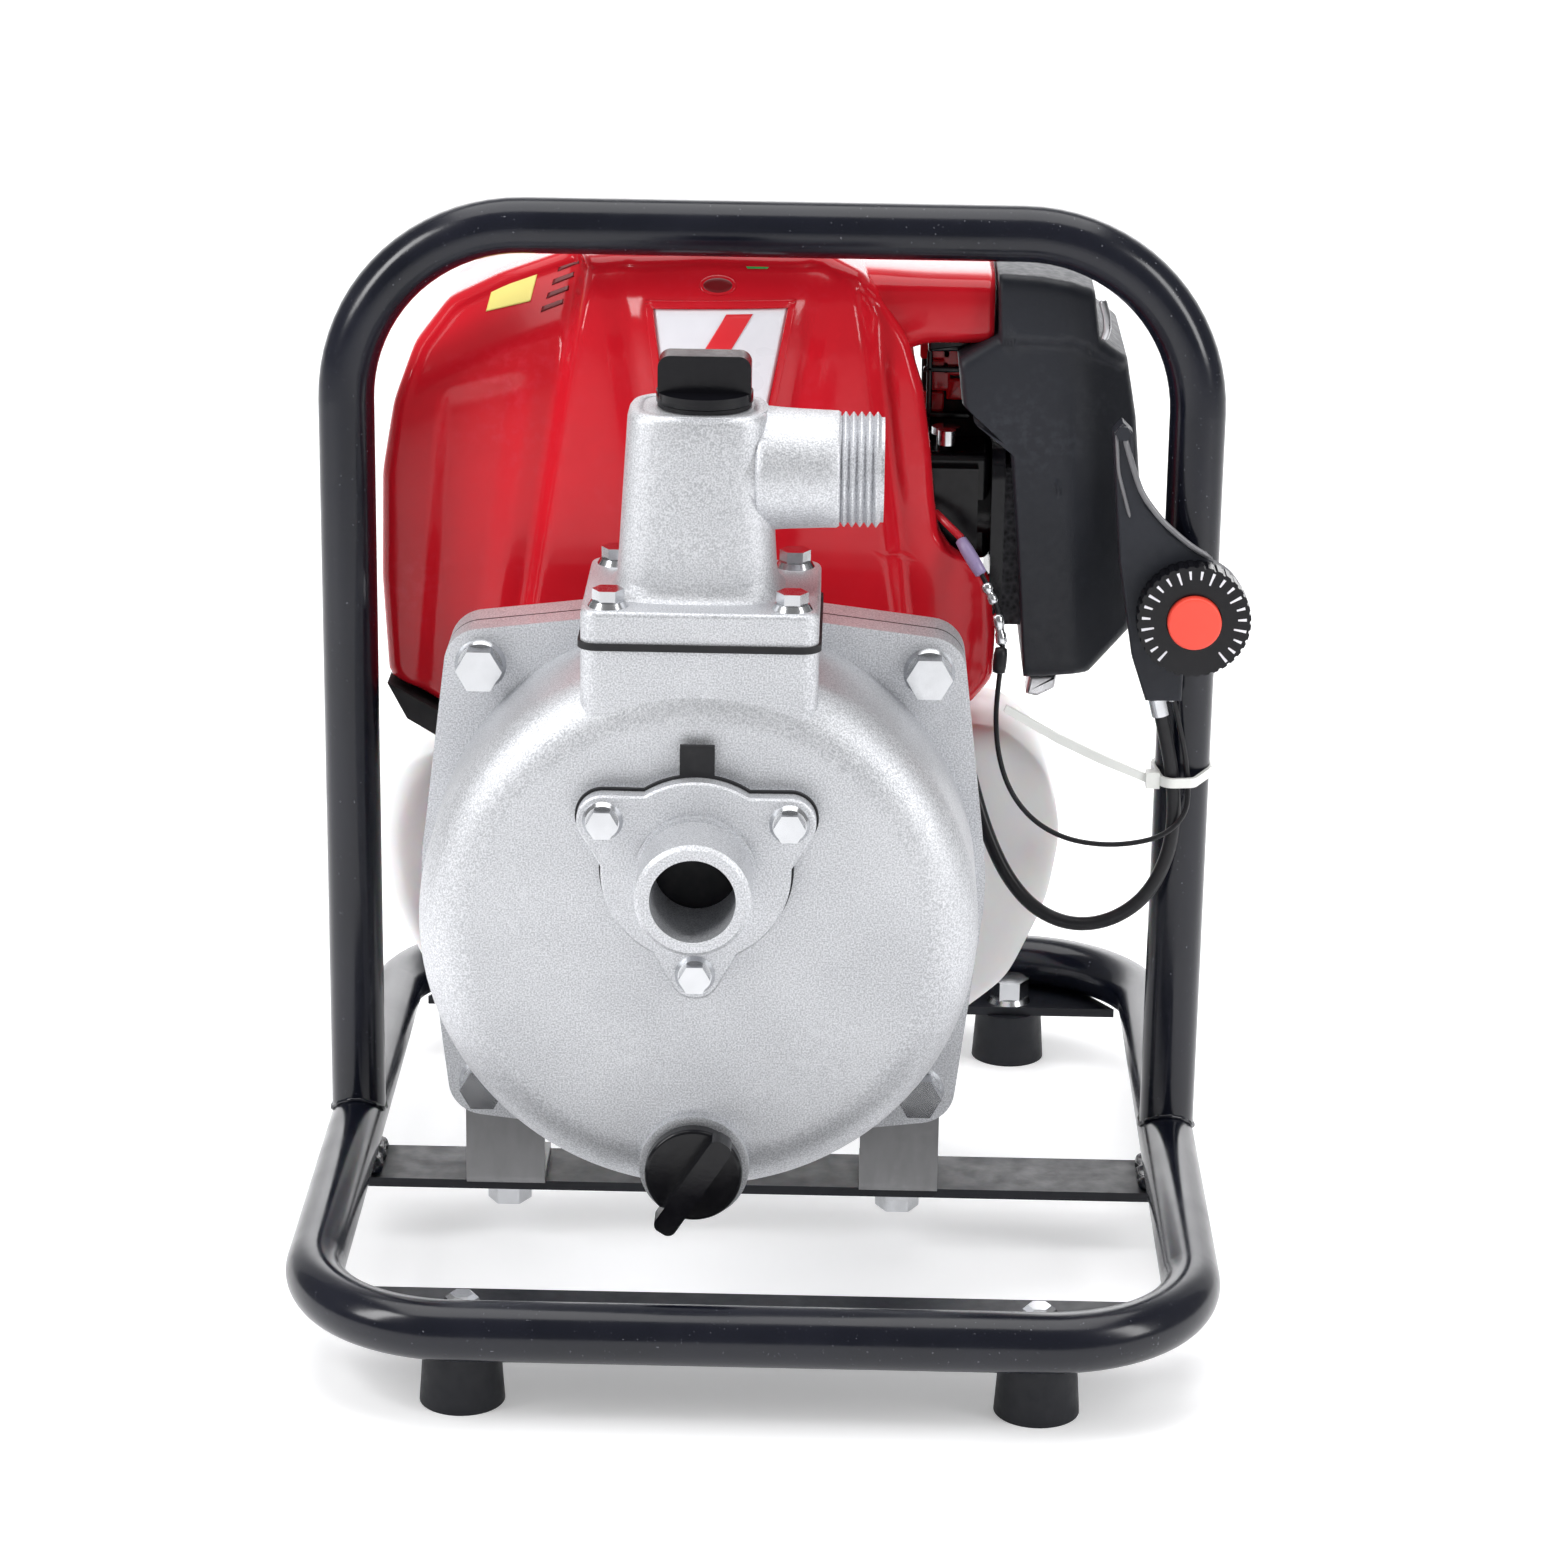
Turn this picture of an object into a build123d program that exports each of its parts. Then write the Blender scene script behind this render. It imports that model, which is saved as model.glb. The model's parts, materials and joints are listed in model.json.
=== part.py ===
"""Portable engine-driven water pump in a carrying frame, in millimetres.

+Z is up, -Y is the pump's inlet side and +Y the recoil starter side. The origin is on
the ground, at the centre of the four feet. Every function returns one sub-part.
"""
import os
from math import cos, pi, radians, sin, sqrt, tan

from build123d import *

# ---------------------------------------------------------------- frame
TUBE_R = 8.75
HOOP_TUBE_R = 8.5
HALF_WIDTH = 129.0
HALF_LENGTH = 156.5
BASE_CORNER_R = 45.0
HOOP_CORNER_R = 54.0
HOOP_TOP_Z = 318.5
FOOT_H = 17.5
FOOT_TOP_R = 11.3
FOOT_BOTTOM_R = 12.5
FOOT_X = 83.5
FOOT_Y = 139.5
FOOT_HOLE_R = 3.3
BAR_T = 3.0
BAR_TOP_Z = FOOT_H + BAR_T
TUBE_Z = BAR_TOP_Z + TUBE_R
FRONT_BAR_Y = (-148.0, -109.0)
MID_BAR_Y = (-28.5, -2.0)
REAR_BAR_Y = (131.5, 159.0)
BRACKET_T = 3.0
BRACKET_W = 24.5
BRACKET_X = (-79.5, 43.5)
BRACKET_FOOT_Y = -4.0
BRACKET_BOLT_Y = -16.0

# ---------------------------------------------------------------- fasteners: across flats, flange radius, shank radius
M8 = (12.0, 7.75, 4.0, 8.0)
M5 = (8.0, 5.9, 2.5, 5.0)
M5_CLEAR_R = 2.8
M8_CLEAR_R = 4.3

# ---------------------------------------------------------------- gap between pieces that move, and flat seals
GAP = 0.3
SEAL_T = 1.1

# ---------------------------------------------------------------- crank and pump axis
AX = -18.0
AZ = 127.0

# ---------------------------------------------------------------- pump, front to back along Y
EAR = 67.0
EAR_R = 11.0
FLANGE_R = 85.5
DRUM_R = 82.5
DRUM_WALL = 5.5
DRUM_FILLET = 17.0
DRUM_FRONT_Y = -97.0
CAVITY_FRONT_Y = -92.0
FLANGE_FRONT_Y = -43.5
FLANGE_BACK_Y = -33.5
BACK_PLATE_Y = (-32.5, -21.5)
BELL_REAR_Y = 16.0
BELL_R = (41.0, 46.0)

OUTLET_Y = -64.0
OUTLET_HALF_X = 34.2
OUTLET_HALF_Y = 31.0
OUTLET_BOLT_X = 26.4
OUTLET_BOLT_Y = 23.4
OUTLET_SEAT_Z = 214.2
OUTLET_GASKET_T = 2.0
OUTLET_FLANGE_TOP_Z = 225.5
TOWER_TOP_Z = 279.0
TOWER_BASE = (43.0, 38.0)
TOWER_TOP = (36.6, 34.8)
BRANCH_Z = 261.0
BRANCH_BORE_R = 12.5
BRANCH_END_X = 34.0
THREAD_START_X = 21.5
THREAD_PITCH = 2.309
THREAD_R = 16.62
THREAD_ROOT_R = 15.15
TOWER_BORE_R = 14.0
PRIMING_HOLE_R = 11.5

INLET_Z = 151.0
INLET_PCR = 31.0
INLET_DISC_R = 27.5
INLET_EAR_R = 7.6
INLET_BORE_R = 12.3
INLET_SPIGOT_R = 16.6
INLET_NOSE_Y = -130.0
INLET_FLANGE_Y = (-106.0, -101.0)
INLET_PAD_Y = -99.5
INLET_PORT_R = 20.0

DRAIN_Z = 57.0
DRAIN_BOSS_R = 16.2
DRAIN_BOSS_Y = -100.5
DRAIN_HOLE_R = 8.0

SHAFT_R = 6.0
SHAFT_FIT = 0.05
IMPELLER_R = 46.0
IMPELLER_Y = (-76.0, -62.0)
SEAL_Y = (-50.0, -25.0)
BEARING_6001 = (6.0, 14.0, 8.0)
BEARING_6202 = (7.5, 17.5, 11.0)

# ---------------------------------------------------------------- engine, front to back along Y
CRANKCASE_Y = (16.0, 66.0)
CRANKCASE_R = 40.0
CHAMBER_Y = (29.0, 53.0)
CHAMBER_R = 29.0
CYL_Y = 41.0
BORE_R = 20.0
THROW = 16.0
PIN_R = 6.0
WRIST_PIN_Z = 205.0
DECK_Z = 169.0
HEAD_Z = 236.0
FIN_HALF = (38.0, 29.0)
SHROUD_WALL = 2.2
SHROUD_Y = (6.0, 80.0)
SPINE_FRONT_Y = -3.0
WINDOW_X = 43.0
WINDOW_Y = 12.0
WINDOW_Z = (180.5, 281.0)
FAN_Y = (82.0, 108.0)
RECOIL_Y = 132.0
CASE_WALL = 2.5
FLYWHEEL_Y = (85.0, 100.0)
FLYWHEEL_R = 48.0
PULLEY_Y = (111.0, 121.0)
PULLEY_R = 36.0
ROPE_R = 33.0
LEAD_X = -6.0
LEAD_Y = 93.0
HANDLE_LOW_Z = 184.3

# ---------------------------------------------------------------- intake, fuel and controls
CARB_Y = (24.0, 58.0)
CARB_Z = (206.0, 248.0)
CARB_X = (41.0, 68.0)
FILTER_BASE_X = (68.0, 72.0)
COVER_Y = (8.0, 86.0)
COVER_WALL = 2.2
TANK_Y = (20.0, 78.0)
TANK_WALL = 2.5
SADDLE_R = 47.0
CAP_X = -103.0
CAP_Z = 116.0
ARM_Y = (-17.0, -10.0)
DIAL_X = 128.6
DIAL_Z = 206.2
DIAL_R = 17.2
DIAL_Y = (-25.5, -17.3)
BULB_TRAVEL = 2.5
BUTTON_R = 8.1
BUTTON_HOLE_R = 8.4
ARM_LOW_Z = 178.4
CABLE_R = 2.2
WIRE_R = 0.8

# free cords: the points of each route, straight out of its exit and back into the object
CABLE_ROUTE = [
    (120.8, -13.0, 173.0), (122.9, -12.9, 164.5), (125.2, -12.4, 153.0), (126.4, -12.4, 140.0),
    (124.8, -12.8, 126.5), (118.6, -13.0, 113.5), (108.0, -12.0, 105.2), (96.0, -10.2, 102.8),
    (84.6, -7.2, 106.6), (75.8, -3.2, 115.6), (69.4, 1.0, 128.0), (64.6, 5.0, 142.0), (61.2, 9.0, 156.0),
    (59.0, 12.6, 170.0), (57.8, 15.6, 183.5), (57.4, 18.0, 196.0), (57.4, 19.4, 207.5),
]
WIRE_ROUTE = [
    (124.4, -13.4, 178.0), (126.6, -13.2, 169.6), (128.8, -12.6, 160.0), (130.2, -12.8, 150.5),
    (129.8, -15.4, 142.0), (123.4, -17.2, 135.4), (113.6, -17.0, 132.4), (102.6, -15.8, 131.4),
    (91.6, -14.2, 133.0), (82.0, -12.2, 138.2), (75.0, -10.2, 147.0), (71.4, -8.2, 158.0),
    (70.4, -6.2, 169.4), (71.2, -4.2, 180.6), (72.4, -2.4, 191.0), (71.0, -1.0, 200.6),
    (67.0, 0.6, 209.4), (62.2, 4.0, 216.8), (57.6, 9.2, 223.2), (51.8, 14.6, 228.2),
    (44.4, 18.2, 231.6), (36.8, 20.0, 232.6),
]
TERMINAL = (31.0, 24.0, 231.5)


# ---------------------------------------------------------------- helpers
def box(x0, x1, y0, y1, z0, z1):
    """Block between two corners."""
    size = Box(x1 - x0, y1 - y0, z1 - z0)
    return Pos((x0 + x1) / 2, (y0 + y1) / 2, (z0 + z1) / 2) * size


def prism_y(sketch, y0, y1):
    """Extrude a sketch drawn in X and Z between two Y planes."""
    return Pos(0, y1, 0) * Rot(X=90) * extrude(sketch, y1 - y0)


def rod_y(radius, y0, y1, x=AX, z=AZ):
    return prism_y(Pos(x, z) * Circle(radius), y0, y1)


def ring_y(inner, outer, y0, y1, x=AX, z=AZ):
    return prism_y(Pos(x, z) * (Circle(outer) - Circle(inner)), y0, y1)


def rod_z(radius, x, y, z0, z1):
    return Pos(x, y, z0) * extrude(Circle(radius), z1 - z0)


def rod_x(radius, x0, x1, y, z):
    return Pos(x0, y, z) * Rot(Y=90) * extrude(Circle(radius), x1 - x0)


def cone_x(r0, r1, x0, x1, y, z):
    solid = Cone(r0, r1, x1 - x0, align=(Align.CENTER, Align.CENTER, Align.MIN))
    return Pos(x0, y, z) * Rot(Y=90) * solid


def outline(points):
    return make_face(Polyline(*points, close=True))


def flange_bolt(size, shank):
    """Hexagon bolt with a flange, head up, its seat at z = 0."""
    flats, flange_r, shank_r, head_h = size
    head = extrude(RegularPolygon(flats / 2, 6, major_radius=False), head_h)
    dome = Pos(0, 0, head_h - 0.8) * Cone(flats * 0.7, flats * 0.36, 2.4, align=(Align.CENTER, Align.CENTER, Align.MIN))
    head = head & (dome + Pos(0, 0, 0) * extrude(Circle(flats), head_h - 0.8))
    skirt = Cone(flange_r, flange_r - 1.0, 1.6, align=(Align.CENTER, Align.CENTER, Align.MIN))
    stem = Pos(0, 0, -shank) * extrude(Circle(shank_r), shank + 0.5)
    return head + skirt + stem


def hex_nut(flats, height, hole_r):
    """Nut standing on z = 0."""
    body = extrude(RegularPolygon(flats / 2, 6, major_radius=False), height)
    return body - extrude(Circle(hole_r), height)


def cord(points, radius, name):
    """Tube along straight runs joined by the largest arcs that the runs allow."""
    corners = [Vector(*p) for p in points]
    radii = []
    for before, at, after in zip(corners, corners[1:], corners[2:]):
        turn = radians((at - before).get_angle(after - at))
        run = min((at - before).length, (after - at).length)
        radii.append(0.45 * run / tan(turn / 2))
    path = FilletPolyline(*points, radius=radii)
    print(name, "length", round(path.length, 1), "radii", [round(r, 1) for r in radii])
    start = Plane(origin=path @ 0, z_dir=path % 0)
    tube = sweep(start * Circle(radius), path=path)
    print(name, "volume ratio", round(tube.volume / (pi * radius**2 * path.length), 4))
    return tube


# ---------------------------------------------------------------- frame
def base_tube():
    """Closed loop of bent tube that lies on the cross bars."""
    loop = Pos(0, 0, TUBE_Z) * RectangleRounded(2 * HALF_WIDTH, 2 * HALF_LENGTH, BASE_CORNER_R)
    path = loop.wire()
    return sweep(Plane(origin=path @ 0, z_dir=path % 0) * Circle(TUBE_R), path=path)


def hoop_tube():
    """Carrying hoop, its feet coped over the side tubes of the base."""
    corners = [
        (-HALF_WIDTH, 0, TUBE_Z), (-HALF_WIDTH, 0, HOOP_TOP_Z), (HALF_WIDTH, 0, HOOP_TOP_Z), (HALF_WIDTH, 0, TUBE_Z)
    ]
    path = FilletPolyline(*corners, radius=HOOP_CORNER_R)
    hoop = sweep(Plane(origin=path @ 0, z_dir=path % 0) * Circle(HOOP_TUBE_R), path=path)
    for side in (-1, 1):
        hoop -= rod_y(TUBE_R, -20, 20, side * HALF_WIDTH, TUBE_Z)
    return hoop


def cross_bar(y_outer, y_inner, half_outer, half_inner, hole_y, hole_x):
    """Flat bar welded under the loop, its ends slanted to follow the corner bends."""
    ends = [(-half_outer, y_outer), (-half_inner, y_inner), (half_inner, y_inner), (half_outer, y_outer)]
    bar = Pos(0, 0, FOOT_H) * extrude(outline(ends), BAR_T)
    if bar.center().Z < FOOT_H:
        bar = Pos(0, 0, BAR_T) * bar
    for x in hole_x:
        bar -= rod_z(M8_CLEAR_R, x, hole_y, FOOT_H, BAR_TOP_Z)
    return bar


def cross_bars():
    """Three flat bars: the outer two carry the feet and the middle one the pump."""
    feet = (-FOOT_X, FOOT_X)
    front = cross_bar(FRONT_BAR_Y[0], FRONT_BAR_Y[1], 103.0, 124.0, -FOOT_Y, feet)
    middle = cross_bar(MID_BAR_Y[0], MID_BAR_Y[1], 126.0, 126.0, BRACKET_BOLT_Y, BRACKET_X)
    rear = cross_bar(REAR_BAR_Y[1], REAR_BAR_Y[0], 103.0, 120.0, FOOT_Y, feet)
    return Compound([front, middle, rear])


def foot_places():
    return [(sx * FOOT_X, sy * FOOT_Y) for sy in (-1, 1) for sx in (-1, 1)]


def rubber_feet():
    """Four rubber feet, each with the bolt's hole above and a screw hole below."""
    solid = Cone(FOOT_BOTTOM_R, FOOT_TOP_R, FOOT_H, align=(Align.CENTER, Align.CENTER, Align.MIN))
    foot = solid - rod_z(M8[2] + SHAFT_FIT, 0, 0, 7.0, FOOT_H)
    foot -= rod_z(FOOT_HOLE_R, 0, 0, 0, 5.0)
    return Compound([Pos(x, y, 0) * foot for x, y in foot_places()])


def bracket_rise(x):
    """One L bracket of bent strip: foot on the middle bar, upright behind the casing flange."""
    y0 = FLANGE_BACK_Y + 1.0
    y1 = y0 + BRACKET_T
    top = AZ - EAR + 14.0
    upright = box(x - BRACKET_W / 2, x + BRACKET_W / 2, y0, y1, BAR_TOP_Z, top)
    foot = box(x - BRACKET_W / 2, x + BRACKET_W / 2, y0, BRACKET_FOOT_Y, BAR_TOP_Z, BAR_TOP_Z + BRACKET_T)
    strip = upright + foot
    bend_edge = [
        e for e in strip.edges().filter_by(Axis.X)
        if abs(e.center().Y - y0) < 0.1 and abs(e.center().Z - BAR_TOP_Z) < 0.1
    ]
    strip = fillet(bend_edge, BRACKET_T)
    bolt_x = AX - EAR if x < AX else AX + EAR
    strip -= rod_y(M8_CLEAR_R, y0, y1, bolt_x, AZ - EAR)
    return strip - rod_z(M8_CLEAR_R, x, BRACKET_BOLT_Y, BAR_TOP_Z, BAR_TOP_Z + BRACKET_T)


def pump_brackets():
    return Compound([bracket_rise(x) for x in BRACKET_X])


def frame_bolts():
    """Four foot bolts from above and two bracket bolts from below with their nuts."""
    parts = [Pos(x, y, BAR_TOP_Z) * flange_bolt(M8, 13.0) for x, y in foot_places()]
    for x in BRACKET_X:
        parts.append(Pos(x, BRACKET_BOLT_Y, FOOT_H) * Rot(X=180) * flange_bolt(M8, 14.0))
        parts.append(Pos(x, BRACKET_BOLT_Y, BAR_TOP_Z + BRACKET_T) * hex_nut(M8[0] + 1, 6.5, M8[2] + SHAFT_FIT))
    return Compound(parts)


# ---------------------------------------------------------------- pump casing
def ear_places():
    return [(AX + sx * EAR, AZ + sz * EAR) for sz in (-1, 1) for sx in (-1, 1)]


def flange_outline():
    """Round flange drawn out to four bolt ears."""
    shape = Pos(AX, AZ) * Circle(FLANGE_R)
    for x, z in ear_places():
        shape += Pos(x, z) * Circle(EAR_R)
    return make_hull(shape.edges())


def inlet_bolt_places():
    return [(AX + INLET_PCR * cos(radians(a)), INLET_Z + INLET_PCR * sin(radians(a))) for a in (30, 150, 270)]


def inlet_outline(grow=0.0):
    """Disc with three ears, each blended in by a neck."""
    shape = Pos(AX, INLET_Z) * Circle(INLET_DISC_R + grow)
    for x, z in inlet_bolt_places():
        middle_x = AX + (x - AX) * 0.45
        middle_z = INLET_Z + (z - INLET_Z) * 0.45
        ear = Pos(x, z) * Circle(INLET_EAR_R + grow)
        ear += Pos(middle_x, middle_z) * Circle(16.0 + grow)
        shape += make_hull(ear.edges())
    return shape


def pump_casing():
    drum = rod_y(DRUM_R, DRUM_FRONT_Y, FLANGE_FRONT_Y + 1)
    front_edge = drum.edges().filter_by(GeomType.CIRCLE).sort_by(Axis.Y)[0]
    drum = fillet(front_edge, DRUM_FILLET)
    body = drum + prism_y(flange_outline(), FLANGE_FRONT_Y, FLANGE_BACK_Y)
    block = box(
        AX - OUTLET_HALF_X, AX + OUTLET_HALF_X, OUTLET_Y - OUTLET_HALF_Y, FLANGE_BACK_Y, 180.0, OUTLET_SEAT_Z
    )
    body += fillet(block.edges().filter_by(Axis.Z), 5.0)
    body += prism_y(inlet_outline(), INLET_PAD_Y, DRUM_FRONT_Y + 2)
    body += rod_y(DRAIN_BOSS_R, DRAIN_BOSS_Y, -80.0, AX, DRAIN_Z)
    body -= rod_y(DRUM_R - DRUM_WALL, CAVITY_FRONT_Y, FLANGE_BACK_Y)
    body -= box(AX - 21, AX + 21, OUTLET_Y - 17, OUTLET_Y + 17, 150.0, OUTLET_SEAT_Z)
    body -= rod_y(INLET_PORT_R, INLET_PAD_Y, CAVITY_FRONT_Y, AX, INLET_Z)
    body -= rod_y(DRAIN_HOLE_R, DRAIN_BOSS_Y, CAVITY_FRONT_Y + 4, AX, DRAIN_Z)
    for x, z in ear_places():
        body -= rod_y(M8_CLEAR_R, FLANGE_FRONT_Y, FLANGE_BACK_Y, x, z)
        body -= rod_y(M8[1] + 1.2, FLANGE_FRONT_Y - 9, FLANGE_FRONT_Y, x, z)
    for x, z in inlet_bolt_places():
        body -= rod_y(M5[2] + SHAFT_FIT, INLET_PAD_Y, INLET_PAD_Y + 6, x, z)
    for sx in (-1, 1):
        for sy in (-1, 1):
            hole_x = AX + sx * OUTLET_BOLT_X
            body -= rod_z(M5[2] + SHAFT_FIT, hole_x, OUTLET_Y + sy * OUTLET_BOLT_Y, 203.0, OUTLET_SEAT_Z)
    return body


def casing_gasket():
    sheet = prism_y(flange_outline(), FLANGE_BACK_Y, BACK_PLATE_Y[0])
    sheet -= rod_y(DRUM_R - DRUM_WALL, FLANGE_BACK_Y, BACK_PLATE_Y[0])
    for x, z in ear_places():
        sheet -= rod_y(M8_CLEAR_R, FLANGE_BACK_Y, BACK_PLATE_Y[0], x, z)
    return sheet


def back_plate():
    """Pump back plate with bearing boss and the bell housing that bolts to the engine."""
    y0, y1 = BACK_PLATE_Y
    plate = prism_y(flange_outline(), y0, y1)
    plate += rod_y(21.0, y1, -1.8)
    plate += ring_y(BELL_R[0], BELL_R[1], y1, BELL_REAR_Y)
    plate -= rod_y(13.1, y0, -25.0)
    plate -= rod_y(8.0, -25.0, y1)
    plate -= rod_y(BEARING_6001[1] + SHAFT_FIT, y1, -1.8)
    for x, z in ear_places():
        plate -= rod_y(M8_CLEAR_R, y0, y1, x, z)
    for x in BRACKET_X:
        half = BRACKET_W / 2 + 0.3
        plate -= box(x - half, x + half, y0, y0 + BRACKET_T, 30.0, AZ - EAR + 14.3)
    return plate


def casing_bolts():
    """Four long bolts through casing, gasket and back plate, with nuts behind."""
    parts = []
    for x, z in ear_places():
        bolt = flange_bolt(M8, FLANGE_FRONT_Y * -1 - 13.5)
        parts.append(Pos(x, FLANGE_FRONT_Y, z) * Rot(X=90) * bolt)
        nut = hex_nut(M8[0] + 1, 6.5, M8[2] + SHAFT_FIT)
        parts.append(Pos(x, BACK_PLATE_Y[1] + 6.5, z) * Rot(X=90) * nut)
    return Compound(parts)


# ---------------------------------------------------------------- outlet
def outlet_plate(grow, z0, z1):
    plate = RectangleRounded(2 * (OUTLET_HALF_X + grow), 2 * (OUTLET_HALF_Y + grow), 5.0 + grow)
    return Pos(AX, OUTLET_Y, z0) * extrude(plate, z1 - z0)


def outlet_bolt_places():
    return [(AX + sx * OUTLET_BOLT_X, OUTLET_Y + sy * OUTLET_BOLT_Y) for sx in (-1, 1) for sy in (-1, 1)]


def outlet_gasket():
    top = OUTLET_SEAT_Z + OUTLET_GASKET_T
    sheet = outlet_plate(0.8, OUTLET_SEAT_Z, top)
    sheet -= box(AX - 17, AX + 17, OUTLET_Y - 14, OUTLET_Y + 14, OUTLET_SEAT_Z, top)
    for x, y in outlet_bolt_places():
        sheet -= rod_z(M5_CLEAR_R, x, y, OUTLET_SEAT_Z, top)
    return sheet


def thread_ridges(x0, x1):
    """Turned profile of a pipe thread on the branch, one V ridge a pitch."""
    count = int((x1 - x0) / THREAD_PITCH)
    points = [(x0 - 0.5, 0.0), (x0 - 0.5, THREAD_ROOT_R)]
    for i in range(count):
        at = x0 + i * THREAD_PITCH
        points.append((at, THREAD_ROOT_R))
        points.append((at + 0.42 * THREAD_PITCH, THREAD_R))
        points.append((at + 0.58 * THREAD_PITCH, THREAD_R))
    points += [(x0 + count * THREAD_PITCH, THREAD_ROOT_R), (x1, THREAD_ROOT_R), (x1, 0.0)]
    profile = make_face(Polyline(*[(x, r) for x, r in points], close=True))
    turned = revolve(profile, Axis.X)
    return Pos(0, OUTLET_Y, BRANCH_Z) * turned


def outlet_elbow():
    base_z = OUTLET_SEAT_Z + OUTLET_GASKET_T
    plate = outlet_plate(0.0, base_z, OUTLET_FLANGE_TOP_Z)
    plate = fillet(plate.faces().sort_by(Axis.Z)[-1].edges(), 1.5)
    low = Pos(AX, OUTLET_Y, OUTLET_FLANGE_TOP_Z - 1) * RectangleRounded(*TOWER_BASE, 12.0)
    high = Pos(AX, OUTLET_Y, TOWER_TOP_Z) * RectangleRounded(*TOWER_TOP, 16.0)
    tower = loft([low, high])
    elbow = plate + tower
    elbow += cone_x(17.6, 15.4, AX, THREAD_START_X, OUTLET_Y, BRANCH_Z)
    elbow += thread_ridges(THREAD_START_X, BRANCH_END_X)
    elbow -= rod_z(TOWER_BORE_R, AX, OUTLET_Y, base_z, 268.0)
    elbow -= rod_z(PRIMING_HOLE_R, AX, OUTLET_Y, 260.0, TOWER_TOP_Z)
    elbow -= rod_x(BRANCH_BORE_R, AX, BRANCH_END_X, OUTLET_Y, BRANCH_Z)
    for x, y in outlet_bolt_places():
        elbow -= rod_z(M5_CLEAR_R, x, y, base_z, OUTLET_FLANGE_TOP_Z)
        elbow -= rod_z(M5[1] + 0.6, x, y, OUTLET_FLANGE_TOP_Z, OUTLET_FLANGE_TOP_Z + 12)
    return elbow


def priming_plug():
    """Screw plug with a paddle grip in the top of the outlet tower."""
    z = TOWER_TOP_Z + GAP + SEAL_T + GAP
    disc = rod_z(14.0, AX, OUTLET_Y, z, z + 3.0)
    grip = box(AX - 13.4, AX + 13.4, OUTLET_Y - 5.0, OUTLET_Y + 5.0, z + 2.0, 294.5)
    grip = fillet(grip.edges().filter_by(Axis.Y).sort_by(Axis.Z)[-2:], 3.5)
    stem = rod_z(PRIMING_HOLE_R - 0.1, AX, OUTLET_Y, 271.0, z)
    return disc + grip + stem


def priming_seal():
    z = TOWER_TOP_Z + GAP
    return rod_z(13.6, AX, OUTLET_Y, z, z + SEAL_T) - rod_z(PRIMING_HOLE_R + 0.2, AX, OUTLET_Y, z, z + SEAL_T)


# ---------------------------------------------------------------- inlet
def inlet_flange():
    y0, y1 = INLET_FLANGE_Y
    part = prism_y(inlet_outline(), y0, y1)
    front = part.faces().sort_by(Axis.Y)[0]
    part = chamfer(front.edges(), 0.6)
    spigot = rod_y(INLET_SPIGOT_R, INLET_NOSE_Y, y1, AX, INLET_Z)
    spigot = chamfer(spigot.edges().filter_by(GeomType.CIRCLE).sort_by(Axis.Y)[0], 1.2)
    part += spigot + rod_y(17.8, y0 - 2.5, y1, AX, INLET_Z)
    part -= rod_y(INLET_BORE_R, INLET_NOSE_Y, y1, AX, INLET_Z)
    for x, z in inlet_bolt_places():
        part -= rod_y(M5_CLEAR_R, y0, y1, x, z)
    return part


def inlet_gasket():
    """Rubber gasket with the pull tab that stands up above the flange."""
    y0, y1 = INLET_FLANGE_Y[1], INLET_PAD_Y
    top = INLET_Z + INLET_DISC_R
    sheet = prism_y(inlet_outline(0.7), y0, y1)
    sheet += box(AX - 5, AX + 5, y0, y1, top - 3, top + 9.5)
    sheet -= rod_y(14.0, y0, y1, AX, INLET_Z)
    for x, z in inlet_bolt_places():
        sheet -= rod_y(M5_CLEAR_R, y0, y1, x, z)
    return sheet


def inlet_flap():
    """Rubber check flap that hangs behind the inlet and swings inwards."""
    y0 = INLET_PAD_Y + 0.4
    disc = rod_y(15.5, y0, y0 + 2.0, AX, INLET_Z)
    return disc + box(AX - 6, AX + 6, y0, y0 + 2.0, INLET_Z + 10, INLET_Z + 17.5)


def cover_bolts():
    """Four bolts of the outlet elbow and three of the inlet flange."""
    bolts = [Pos(x, y, OUTLET_FLANGE_TOP_Z) * flange_bolt(M5, 20.0) for x, y in outlet_bolt_places()]
    for x, z in inlet_bolt_places():
        bolts.append(Pos(x, INLET_FLANGE_Y[0], z) * Rot(X=90) * flange_bolt(M5, 11.5))
    return Compound(bolts)


# ---------------------------------------------------------------- drain plug
def drain_plug():
    """Round screw plug with a slanted grip bar."""
    y1 = DRAIN_BOSS_Y - GAP - SEAL_T - GAP
    disc = rod_y(14.4, y1 - 4.5, y1, AX, DRAIN_Z)
    disc = fillet(disc.edges().filter_by(GeomType.CIRCLE).sort_by(Axis.Y)[0], 1.2)
    bar = Rot(Z=57) * RectangleRounded(34.0, 7.0, 2.5)
    grip = prism_y(Pos(AX, DRAIN_Z - 1.5) * bar, y1 - 10.5, y1 - 3.0)
    stem = rod_y(DRAIN_HOLE_R - 0.1, y1, CAVITY_FRONT_Y - 0.5, AX, DRAIN_Z)
    return disc + grip + stem


def drain_seal():
    y1 = DRAIN_BOSS_Y - GAP
    return ring_y(DRAIN_HOLE_R + 0.2, 13.0, y1 - SEAL_T, y1, AX, DRAIN_Z)


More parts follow.
